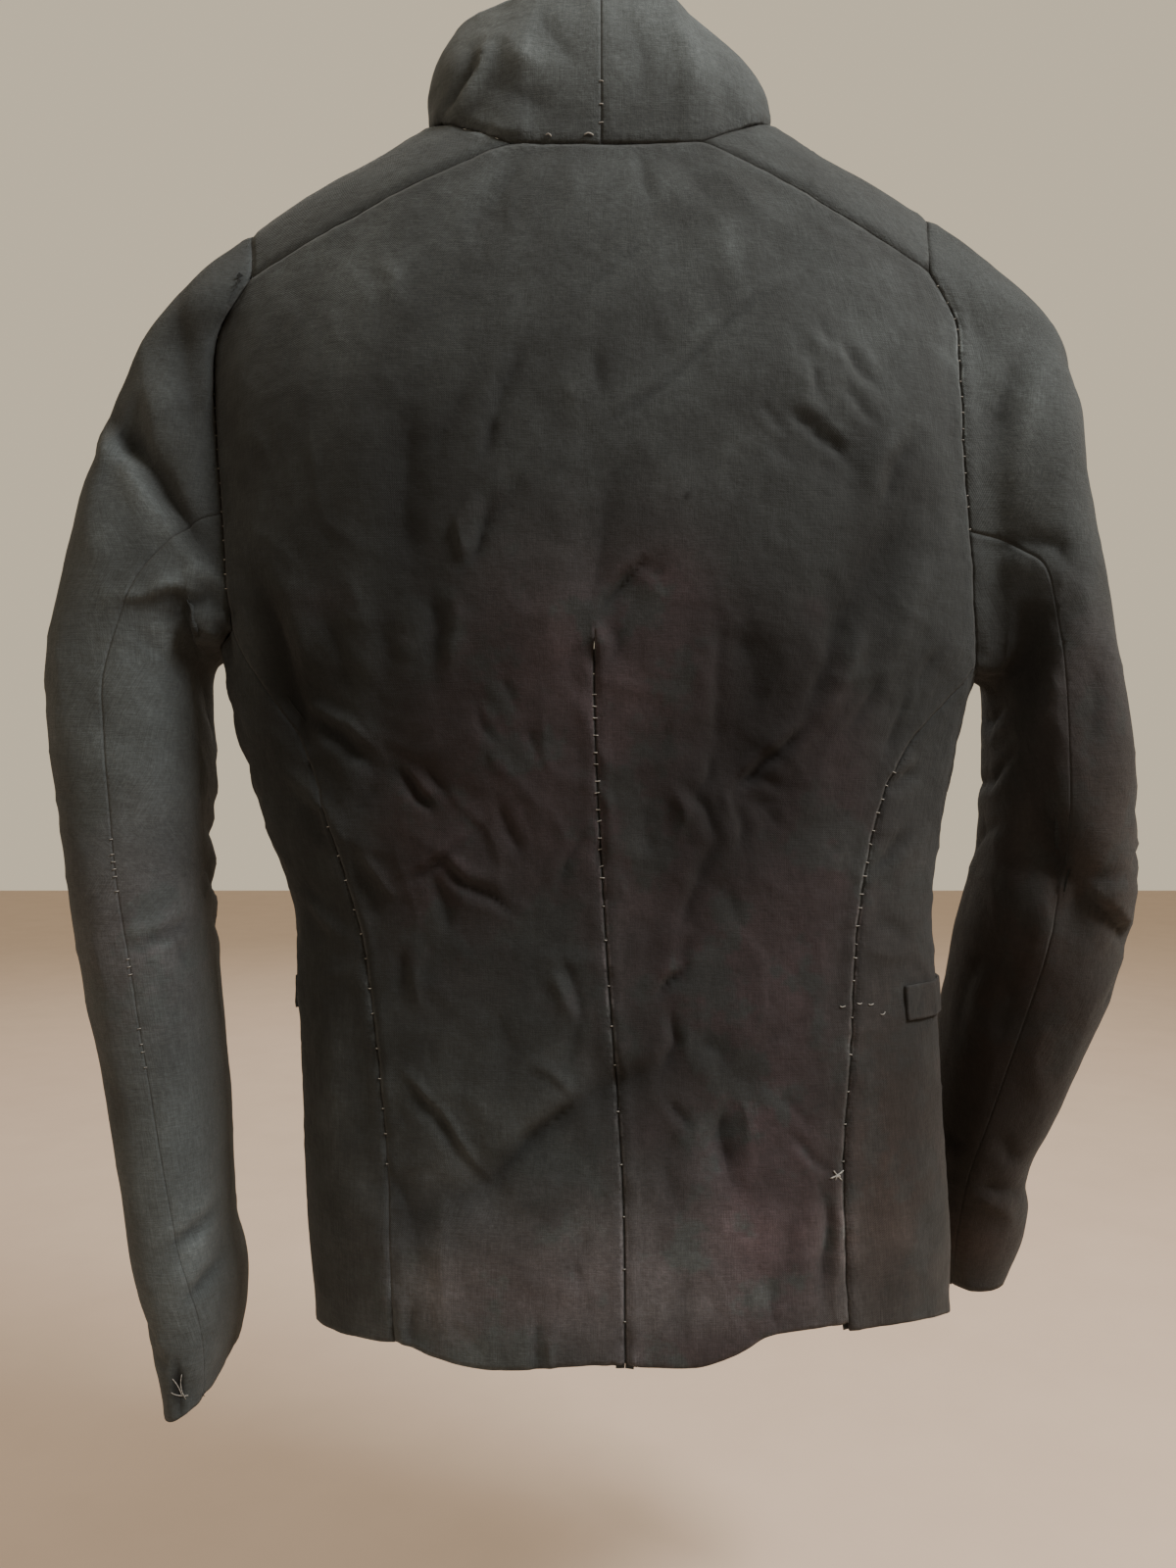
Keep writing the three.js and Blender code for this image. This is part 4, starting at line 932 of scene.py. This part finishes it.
def canvas_material():
    g = Graph("canvas")
    place = g.node("ShaderNodeTexCoord").outputs["Object"]
    warp, weft, weave = yarns(g, g.attribute("cloth", "Vector"))
    mottle = g.noise(place, 26, 5.0, 0.62)
    cloud = g.noise(place, 7, 4.0, 0.6)
    grit = g.noise(place, 420, 3.0, 0.7)
    sewn = g.attribute("sewn")
    plain = g.maths("MULTIPLY_ADD", g.attribute("faint"), -0.88, 1.0)
    # Painted shade darkens crease troughs and ridges are lighter from wear and painted highlight; the
    # tone attribute adds wash fading with painted light and shade
    tone = g.maths("MULTIPLY_ADD", g.attribute("sharp"), CREASE_WEAR_AND_SHADING, g.attribute("tone"))
    blotch = g.maths("MULTIPLY", g.maths("SUBTRACT", cloud, 0.5), CLOUD)
    blotch = g.maths("MULTIPLY_ADD", g.maths("SUBTRACT", mottle, 0.5), MOTTLE, blotch)
    tone = g.maths("MULTIPLY_ADD", blotch, g.attribute("lively"), tone)
    for pattern, stops in ((warp, WARP), (weft, WEFT), (grit, GRIT)):
        tone = g.maths("MULTIPLY_ADD", g.maths("SUBTRACT", pattern, 0.5), stops, tone)
    tone = g.maths("MULTIPLY_ADD", weave, WEAVE, tone)
    tone = seam_tone(g, tone, place, sewn, plain)
    # Painted shade darkens openings through the cloth
    tone = g.maths("MULTIPLY_ADD", g.attribute("hole"), OPENING_SHADE, tone)
    lit = g.node("ShaderNodeVectorMath", operation="SCALE")
    g.feed(lit.inputs[0], dyed(g, place))
    g.feed(lit.inputs["Scale"], g.maths("POWER", 2.0, tone))
    g.feed(g.shader.inputs["Base Color"], g.mix(lint_at(g, place), lit.outputs[0], LINT))
    g.feed(g.shader.inputs["Roughness"], g.maths("MULTIPLY_ADD", mottle, 0.18, 0.76))
    g.shader.inputs["Specular IOR Level"].default_value = 0.22
    g.shader.inputs["Sheen Weight"].default_value = 0.06
    g.shader.inputs["Sheen Roughness"].default_value = 0.5
    g.shader.inputs["Sheen Tint"].default_value = (0.85, 0.84, 0.80, 1)
    normal = g.bump(g.noise(place, 58, 6.0, 0.6), 3.4 * MM, 0.55)
    near = g.steps(sewn, 0.0, 9.0, 1.0, 0.0)
    puck = g.maths("MULTIPLY", g.maths("MULTIPLY", near, plain), g.noise(place, 230, 3.0, 0.6))
    normal = g.bump(puck, 1.6 * MM, 0.8, normal)
    groove = g.maths("MULTIPLY", g.steps(sewn, 0.1, 1.3, -1.0, 0.0), plain)
    normal = g.bump(groove, 0.7 * MM, 0.8, normal)
    threads = g.maths("ADD", g.maths("MULTIPLY", weave, 0.25), g.maths("ADD", warp, weft))
    g.feed(g.shader.inputs["Normal"], g.bump(threads, 0.32 * MM, 0.9, normal))
    return g.material


def thread_material():
    g = Graph("thread")
    place = g.node("ShaderNodeTexCoord").outputs["Object"]
    grain = g.noise(place, 900, 3.0, 0.6)
    g.feed(
        g.shader.inputs["Base Color"],
        g.mix(g.steps(grain, 0.3, 0.7), (0.10, 0.097, 0.09, 1), (0.30, 0.29, 0.27, 1)),
    )
    g.shader.inputs["Roughness"].default_value = 0.85
    g.feed(g.shader.inputs["Normal"], g.bump(grain, 0.2 * MM, 0.8))
    return g.material


def horn_material():
    g = Graph("horn")
    place = g.node("ShaderNodeTexCoord").outputs["Object"]
    stripe = g.noise(g.vector("MULTIPLY", place, (60, 200, 420)), 1.0, 5.0, 0.6)
    dust = g.noise(place, 600, 3.0, 0.6)
    colour = g.mix(g.steps(stripe, 0.35, 0.7), (0.012, 0.009, 0.007, 1), (0.075, 0.052, 0.034, 1))
    g.feed(g.shader.inputs["Base Color"], colour)
    g.feed(g.shader.inputs["Roughness"], g.steps(dust, 0.3, 0.7, 0.28, 0.5))
    g.feed(g.shader.inputs["Normal"], g.bump(dust, 0.1 * MM, 0.4))
    return g.material


canvas = canvas_material()
thread = thread_material()
horn = horn_material()


# Seams and free edges

SEAM_REACH = 3.2 * MM
NEAR_SEAM = 4 * MM
FROM_HEM = 1.5 * MM
EASE_REACH = 7 * MM
EASE_END = 16 * MM
SHARED_REACH = 3 * MM
SLEEVE_SEAM_REACH = 6 * MM
FAINT_REACH = 12

# The fronts have few creases, so one level less is enough for them
sheets = {}
for name in CLOTH:
    level = max(LEVEL - 1, 1) if name.startswith("front") else LEVEL
    sheets[name] = smooth_sheet(name + "_cloth", outer_sheet(nodes[name]), level)

rims = {name: edge_points(thing.data) for name, thing in sheets.items()}


def is_sewn(name):
    """Which open edges of a sheet lie at another sheet's edge, or on the centre seam."""
    starts, ends = rims[name]
    if name in SEWN_OVER:
        return np.zeros(len(starts), bool)
    others = [
        (rims[other][0] + rims[other][1]) / 2
        for other in CLOTH
        if other != name and other not in SEWN_OVER
    ]
    middles = (starts + ends) / 2
    joined = reach_to(tree_of(np.concatenate(others)), middles) < SEAM_REACH
    if name == "back":
        joined |= np.array([on_centre_seam(point) for point in middles])
    return joined


sewn_rims = {name: is_sewn(name) for name in CLOTH}


def all_along(picked):
    """Points along the picked open edges of all sheets."""
    rows = []
    for name in CLOTH:
        starts, ends = rims[name]
        if picked[name].any():
            rows.append(spaced(starts[picked[name]], ends[picked[name]]))
    return np.concatenate(rows)


sewn_tree = tree_of(all_along(sewn_rims))
free_tree = tree_of(all_along({name: ~sewn for name, sewn in sewn_rims.items()}))


def near_seam(point):
    return sewn_tree.find(point)[2] < NEAR_SEAM


def on_free_edge(point):
    return free_tree.find(point)[2] < sewn_tree.find(point)[2] + FROM_HEM


def rim_rows(mesh):
    """Vertex pairs of the sheet's open edges, with the ways out of the cloth and off its edge."""
    bm = bmesh.new()
    bm.from_mesh(mesh)
    rows = []
    for edge in bm.edges:
        if not edge.is_boundary:
            continue
        face = edge.link_faces[0]
        first, second = edge.verts
        middle = (first.co + second.co) / 2
        along = (second.co - first.co).normalized()
        off = middle - face.calc_center_median()
        off = (off - along * off.dot(along)).normalized()
        rows.append((first.index, second.index, face.normal.copy(), off))
    bm.free()
    return rows


def close_seams(name):
    """Moves a sheet's sewn edges, and the cloth near them, halfway to the edges they are sewn to."""
    starts, ends = rims[name]
    joined = sewn_rims[name]
    if not joined.any():
        return
    others = []
    for other in CLOTH:
        if other != name and sewn_rims[other].any():
            from_points, to_points = rims[other]
            picked = sewn_rims[other]
            others.append(spaced(from_points[picked], to_points[picked], 0.4 * MM))
    places = np.concatenate(others)
    tree = tree_of(places)
    own = np.unique(np.concatenate([starts[joined], ends[joined]]), axis=0)
    found = [tree.find(point) for point in own]
    shift = np.array([(np.array(place) - point) / 2 for point, (place, _, gap) in zip(own, found)])
    far = np.array([gap > NEAR_SEAM for _, _, gap in found])
    shift[far] = 0
    own_tree = tree_of(own)
    mesh = sheets[name].data
    points = read(mesh.vertices, "co")
    moved = points.copy()
    for index, point in enumerate(points):
        _, near, gap = own_tree.find(point)
        if gap < EASE_END:
            moved[index] += shift[near] * math.exp(-((gap / EASE_REACH) ** 2))
    write_points(mesh, moved)


for name in CLOTH:
    close_seams(name)


frames = {name: rim_rows(thing.data) for name, thing in sheets.items()}
rim_points = []
rim_ways = []
for name, thing in sheets.items():
    if name in SEWN_OVER:
        continue
    for first, second, way, _ in frames[name]:
        vertices = thing.data.vertices
        for index in (first, second):
            if near_seam(vertices[index].co):
                rim_points.append(tuple(vertices[index].co))
                rim_ways.append(tuple(way))
rim_points = np.array(rim_points)
rim_ways = np.array(rim_ways)
rim_tree = tree_of(rim_points)
shared = np.array(
    [rim_ways[[row[1] for row in rim_tree.find_range(at, SHARED_REACH)]].mean(0) for at in rim_points]
)
shared /= np.linalg.norm(shared, axis=1)[:, None]


def eased(points, out):
    """Ways out of the cloth that agree on both sides of a seam."""
    found = [rim_tree.find(point) for point in points]
    near = np.array([row[1] for row in found])
    share = bell(np.array([row[2] for row in found]), EASE_REACH)[:, None]
    mixed = out * (1 - share) + shared[near] * share
    return mixed / np.linalg.norm(mixed, axis=1)[:, None]


sleeve_trees = {}
for side in ("left", "right"):
    starts, ends = rims["sleeve_top_" + side]
    under = tree_of(np.concatenate(rims["sleeve_under_" + side]))
    along = reach_to(under, (starts + ends) / 2) < SLEEVE_SEAM_REACH
    sleeve_trees[side] = tree_of(spaced(starts[along], ends[along]))


def faintness(points, name):
    """How little a seam near each point shows, from 0 to 1."""
    value = patches(points / MM, FAINT)
    if name.startswith("sleeve"):
        reach = reach_to(sleeve_trees[name.rsplit("_", 1)[1]], points) / MM
        value += FAINT_SLEEVE * bell(reach, FAINT_REACH)
    return np.clip(value, 0, 1)


for name, thing in sheets.items():
    mesh = thing.data
    points = read(mesh.vertices, "co")
    out = read(mesh.vertices, "normal")
    if name not in SEWN_OVER:
        out = eased(points, out)
    sewn = np.minimum(reach_to(sewn_tree, points) / MM, FAR_MM)
    free = np.minimum(reach_to(free_tree, points) / MM, FAR_MM)
    if name in SEWN_OVER:
        sewn[:] = FAR_MM
    faint = faintness(points, name)
    height, sharp = relief(points, out, sewn, free, faint, name)
    mm = points / MM
    store(mesh, "cloth", cloth_coordinates(points, name))
    # tone holds wash fading together with painted light and shade
    store(mesh, "tone", patches(mm, WASH_AND_PAINTED_SHADE))
    store(mesh, "plum", np.clip(patches(mm, PLUMS), 0, 1.1))
    store(mesh, "brown", patches(mm, BROWNS))
    store(mesh, "rubbed", patches(mm, RUBBED))
    # Painted shade for openings through the cloth, only on cloth that faces back
    store(mesh, "hole", patches(mm, OPENING_SHADES) * soft(out[:, 1], 0.0, 0.3))
    store(mesh, "sewn", sewn)
    store(mesh, "free", free)
    store(mesh, "faint", faint)
    store(mesh, "lively", np.full(len(mm), LIVELY.get(name.split("_")[0], 0.5)))
    store(mesh, "sharp", np.clip(sharp, -4, 3))
    write_points(mesh, points + out * height[:, None] * MM)
    mesh.materials.clear()
    mesh.materials.append(canvas)
    wall = thing.modifiers.new("Wall", "SOLIDIFY")
    wall.thickness = WALL
    wall.offset = -1
    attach(thing, "root")
    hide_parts(name)


# Seam allowances inside

ALLOWANCE = 7 * MM
TUCK = 2.5 * MM
UNDER = WALL + 0.8 * MM


def sewn_rows(name):
    """Middle and ends of each sewn edge of a sheet, with the ways out of the cloth and off its edge."""
    places = sheets[name].data.vertices
    rows = []
    for first, second, way, off in frames[name]:
        ends = [places[first].co, places[second].co]
        middle = (ends[0] + ends[1]) / 2
        if near_seam(middle) and not on_free_edge(middle):
            rows.append((middle, ends, way, off))
    return rows


seams = {name: sewn_rows(name) for name in CLOTH if name not in SEWN_OVER}
corners = []
faces = []
for rows in seams.values():
    for _, ends, way, off in rows:
        base = len(corners)
        for point in ends:
            corners.append(point - way * UNDER - off * ALLOWANCE)
            corners.append(point - way * UNDER + off * TUCK)
        faces.append((base, base + 1, base + 3, base + 2))
tape_mesh = bpy.data.meshes.new("seam_allowances")
tape_mesh.from_pydata(corners, [], faces)
tape_mesh.materials.append(canvas)
for layer in ("sewn", "free"):
    store(tape_mesh, layer, np.full(len(corners), float(FAR_MM)))
tape_points = np.array([tuple(point) for point in corners])
store(tape_mesh, "cloth", cloth_coordinates(tape_points, "back"))
# The allowances take the same wash fading and painted light and shade, half a stop darker
store(tape_mesh, "tone", patches(tape_points / MM, WASH_AND_PAINTED_SHADE) - 0.5)
tape = link("seam_allowances", tape_mesh)
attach(tape, "root")


# Stitches and loose threads outside

def rod(bm, start, middle, end, radius, sides=6, rings=6):
    """A bent thread from start to end by way of middle, with closed rounded ends."""
    centres = []
    for step in range(rings + 1):
        t = step / rings
        centres.append(start * (1 - t) ** 2 + middle * 2 * t * (1 - t) + end * t * t)
    loops = []
    for step, centre in enumerate(centres):
        ahead = centres[min(step + 1, rings)] - centres[max(step - 1, 0)]
        turn = ahead.to_track_quat("Z", "Y").to_matrix()
        size = radius * (0.55 if step in (0, rings) else 1)
        loop = []
        for side in range(sides):
            angle = 2 * math.pi * side / sides
            arm = Vector((math.cos(angle), math.sin(angle), 0))
            loop.append(bm.verts.new(centre + turn @ arm * size))
        loops.append(loop)
    for lower, upper in zip(loops, loops[1:]):
        for side in range(sides):
            after = (side + 1) % sides
            bm.faces.new((lower[side], lower[after], upper[after], upper[side]))
    bm.faces.new(loops[0][::-1])
    bm.faces.new(loops[-1])


def uneven(seed):
    """Number from -1 to 1 that varies with the seed and is the same each time."""
    return noise.noise(Vector((seed * 1.93, 4.1, 7.7)))


# Piece whose edge they cross, x from and to, z from the top down, step and length in millimetres
LADDERS = [
    ("back", -20, 12, -300, -404, 7.6, 3.6),
    ("back", -20, 12, -412, -640, 23, 1.3),
    ("back", -175, -128, -342, -446, 8.6, 3.2),
    ("back", -160, -126, -456, -555, 19, 1.8),
    ("back", 110, 170, -372, -560, 16, 1.8),
    ("back", -215, -178, -70, -206, 9, 1.7),
    ("back", 196, 225, -92, -244, 9, 1.7),
    ("sleeve_under_left", 262, 320, -380, -410, 5.5, 2.2),
    ("sleeve_under_left", 255, 310, -444, -456, 6, 2.0),
    ("sleeve_under_left", 250, 300, -486, -506, 6, 1.8),
    ("sleeve_under_right", -345, -290, -330, -400, 14, 1.6),
    ("collar_left", -8, 14, 32, 6, 11, 3.6),
]
THREAD = 0.26 * MM

bm = bmesh.new()
count = 0
for name, x_low, x_high, z_high, z_low, step, length in LADDERS:
    rows = []
    for row in seams[name]:
        x, z = row[0].x / MM, row[0].z / MM
        if x_low < x < x_high and z_low - 5 < z < z_high + 5 and row[2].y > -0.2:
            rows.append(row)
    height = z_high
    while height > z_low and rows:
        count += 1
        middle, _, way, off = min(rows, key=lambda row: abs(row[0].z / MM - height))
        half = off * length * MM * (0.5 + 0.22 * uneven(count))
        tilt = Vector((0, 0, 1)) * length * MM * 0.25 * uneven(count + 40)
        centre = middle + off * 0.2 * MM
        lift = way * 0.75 * MM
        sink = way * -0.35 * MM
        rod(bm, centre - half - tilt + sink, centre + lift * 2, centre + half + tilt + sink, THREAD)
        height -= step * (1 + 0.35 * uneven(count + 90))

# Loose threads and knots, as points (x, z) on the back and a radius in millimetres
LOOSE = [
    ([(-131, -557), (-127, -559), (-123, -560)], 0.42),
    ([(-129, -560), (-127, -557), (-126, -561)], 0.40),
    ([(-125, -556), (-127, -559), (-130, -562)], 0.36),
    ([(9, 4), (7, 6), (4, 4)], 0.42),
    ([(30, 5), (28, 6), (27, 4)], 0.36),
    ([(243, -686), (240, -690), (238, -697)], 0.26),
    ([(238, -684), (240, -692), (236, -699)], 0.24),
    ([(244, -694), (240, -697), (235, -697)], 0.26),
    ([(-150, -469), (-148, -470), (-147, -469)], 0.3),
    ([(-143, -468), (-142, -469), (-140, -468)], 0.26),
    ([(-133, -469), (-131, -470), (-130, -469)], 0.3),
    ([(-157, -474), (-156, -476), (-154, -475)], 0.26),
]

cloth_points = []
cloth_faces = []
for name in CLOTH:
    mesh = sheets[name].data
    base = len(cloth_points)
    cloth_points += [tuple(vertex.co) for vertex in mesh.vertices]
    cloth_faces += [tuple(base + index for index in face.vertices) for face in mesh.polygons]
surface = BVHTree.FromPolygons(cloth_points, cloth_faces)


def on_cloth(x, z, way):
    """Point of the cloth at x, z in millimetres, seen from behind for way 1 and from the front for -1."""
    start = Vector((x * MM, way * 0.5, z * MM))
    place, out, _, _ = surface.ray_cast(start, Vector((0, -way, 0)))
    return place, out


for line, radius in LOOSE:
    places = [on_cloth(x, z, 1) for x, z in line]
    if any(place is None for place, _ in places):
        continue
    lift = Vector((0, 1, 0)) * radius * MM
    start, middle, end = (place + lift for place, _ in places)
    rod(bm, start, middle + lift * 1.5, end, radius * MM, rings=8)


def mesh_from(bm, name, material):
    mesh = bpy.data.meshes.new(name)
    bm.to_mesh(mesh)
    bm.free()
    mesh.materials.append(material)
    mesh.polygons.foreach_set("use_smooth", [True] * len(mesh.polygons))
    return mesh


stitches = link("stitches", mesh_from(bm, "stitches", thread))
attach(stitches, "root")


# Buttons with four holes, their thread and the buttonholes, in millimetres

HOLE_OUT = 2.5
HOLE_RADIUS = 1.1
HOLE_DEPTH = 12
FACE_REACH = 5.5
THREAD_SINK = 1.2
THREAD_RISE = 3.4
STRAND_GAP = 0.32
STRAND_RADIUS = 0.3
WHIPS = 26
WHIP_STEP = 0.85
WHIP_START = 3
WHIP_LENGTH = 2.1
WHIP_RADIUS = 0.24


def button_seat(spots):
    """Middle of a button, the way its face looks, and how far its face stands out there."""
    centre = spots.mean(0)
    _, ways = np.linalg.eigh(np.cov((spots - centre).T))
    axis = Vector(ways[:, 0])
    if axis.y > 0:
        axis = -axis
    inner = [spot for spot in spots if np.linalg.norm(spot - centre) < FACE_REACH * MM]
    face_at = max((Vector(spot) - Vector(centre)).dot(axis) for spot in inner)
    return centre, axis, face_at


def drill_through(disc, seat, name):
    """Cuts four thread holes through a button."""
    drill = bmesh.new()
    for quarter in range(4):
        angle = math.pi / 4 + quarter * math.pi / 2
        at = Vector((math.cos(angle), math.sin(angle), 0)) * HOLE_OUT * MM
        bmesh.ops.create_cone(
            drill,
            cap_ends=True,
            segments=16,
            radius1=HOLE_RADIUS * MM,
            radius2=HOLE_RADIUS * MM,
            depth=HOLE_DEPTH * MM,
            matrix=seat @ Matrix.Translation(at),
        )
    tool = link(name + "_drill", mesh_from(drill, name + "_drill", horn))
    cut = disc.modifiers.new("Holes", "BOOLEAN")
    cut.operation = "DIFFERENCE"
    cut.solver = "EXACT"
    cut.object = tool
    bpy.context.view_layer.update()
    view = bpy.context.evaluated_depsgraph_get()
    disc.data = bpy.data.meshes.new_from_object(disc.evaluated_get(view))
    disc.modifiers.clear()
    bpy.data.objects.remove(tool)


def keep_edges_sharp(mesh):
    bm = bmesh.new()
    bm.from_mesh(mesh)
    for face in bm.faces:
        face.smooth = True
    for edge in bm.edges:
        if len(edge.link_faces) == 2 and edge.calc_face_angle(0) > math.radians(35):
            edge.smooth = False
    bm.to_mesh(mesh)
    bm.free()


def sew_on(bm, seat, turn, axis, face_at):
    """Two strands of thread over each pair of a button's holes."""
    across = HOLE_OUT * 0.71 * MM
    depth = face_at - THREAD_SINK * MM
    for way in (1, -1):
        near = seat @ Vector((across * way, across, depth))
        far = seat @ Vector((across * way, -across, depth))
        for shift in (-STRAND_GAP, STRAND_GAP):
            aside = turn.to_3x3() @ Vector((shift * MM, 0, 0))
            top = (near + far) / 2 + axis * THREAD_RISE * MM
            rod(bm, near + aside, top + aside, far + aside, STRAND_RADIUS * MM, rings=8)


def whip_hole(bm, x_at, z_at):
    """Whip stitches along both lips of a buttonhole."""
    for index in range(WHIPS):
        along = x_at + WHIP_START - index * WHIP_STEP
        for way in (1, -1):
            place, out = on_cloth(along + 0.2 * uneven(index), z_at + way * 0.3, -1)
            length = WHIP_LENGTH + 0.3 * uneven(index + 60)
            outer, _ = on_cloth(along, z_at + way * length, -1)
            if place is None or outer is None or (place - outer).length > 4 * MM:
                continue
            lift = out * 0.3 * MM
            middle = (place + outer) / 2 + lift * 2.4
            rod(bm, place + lift, middle, outer, WHIP_RADIUS * MM, sides=5, rings=3)


sewing = bmesh.new()
for name in ("button_1", "button_2", "button_3"):
    bm = bmesh.new()
    bm.from_mesh(nodes[name].data)
    bmesh.ops.remove_doubles(bm, verts=bm.verts, dist=WELD)
    centre, axis, face_at = button_seat(np.array([tuple(vertex.co) for vertex in bm.verts]))
    turn = axis.to_track_quat("Z", "X").to_matrix().to_4x4()
    seat = Matrix.Translation(Vector(centre)) @ turn
    disc = link(name + "_horn", mesh_from(bm, name + "_horn", horn))
    drill_through(disc, seat, name)
    keep_edges_sharp(disc.data)
    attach(disc, "root")
    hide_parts(name)
    sew_on(sewing, seat, turn, axis, face_at)
    whip_hole(sewing, centre[0] / MM, centre[2] / MM)

button_thread = link("button_thread", mesh_from(sewing, "button_thread", thread))
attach(button_thread, "root")


# Camera as the photo has it

camera = bpy.data.objects.new("camera", bpy.data.cameras.new("camera"))
bpy.context.scene.collection.objects.link(camera)
camera.location = (0.007, 0.640, -0.3483)
camera.rotation_euler = (math.pi / 2, 0, math.pi)
camera.data.lens = 27
camera.data.sensor_width = 36
bpy.context.scene.camera = camera


# Floor and light

FLOOR_Z = -0.95
FLOOR_HALF = 6
floor_mesh = bpy.data.meshes.new("floor")
floor_mesh.from_pydata(
    [
        (-FLOOR_HALF, -FLOOR_HALF, FLOOR_Z),
        (FLOOR_HALF, -FLOOR_HALF, FLOOR_Z),
        (FLOOR_HALF, FLOOR_HALF, FLOOR_Z),
        (-FLOOR_HALF, FLOOR_HALF, FLOOR_Z),
    ],
    [],
    [(0, 1, 2, 3)],
)
floor = link("floor", floor_mesh)
g = Graph("pale_floor")
speckle = g.noise(g.node("ShaderNodeTexCoord").outputs["Object"], 9, 5.0, 0.6)
g.feed(g.shader.inputs["Base Color"], g.mix(speckle, (0.47, 0.36, 0.28, 1), (0.54, 0.42, 0.33, 1)))
g.shader.inputs["Roughness"].default_value = 0.95
floor_mesh.materials.append(g.material)

world = bpy.data.worlds.new("world")
bpy.context.scene.world = world
world.use_nodes = True
world.node_tree.nodes["Background"].inputs["Color"].default_value = (0.80, 0.68, 0.50, 1)
world.node_tree.nodes["Background"].inputs["Strength"].default_value = 0.85


def lamp(name, place, aim, size, power, colour):
    light = bpy.data.lights.new(name, "AREA")
    light.size = size
    light.energy = power
    light.color = colour
    thing = bpy.data.objects.new(name, light)
    thing.location = place
    thing.rotation_euler = (Vector(aim) - Vector(place)).to_track_quat("-Z", "Y").to_euler()
    bpy.context.scene.collection.objects.link(thing)


lamp("key", (-1.5, 0.9, 1.3), (0, 0, -0.3), 0.7, 104, (1, 0.985, 0.96))
lamp("fill", (1.8, 1.6, 0.2), (0, 0, -0.4), 2.0, 7, (0.95, 0.97, 1))
lamp("behind", (0.4, -2.4, 1.4), (0, 0, -0.3), 1.6, 36, (1, 0.985, 0.96))
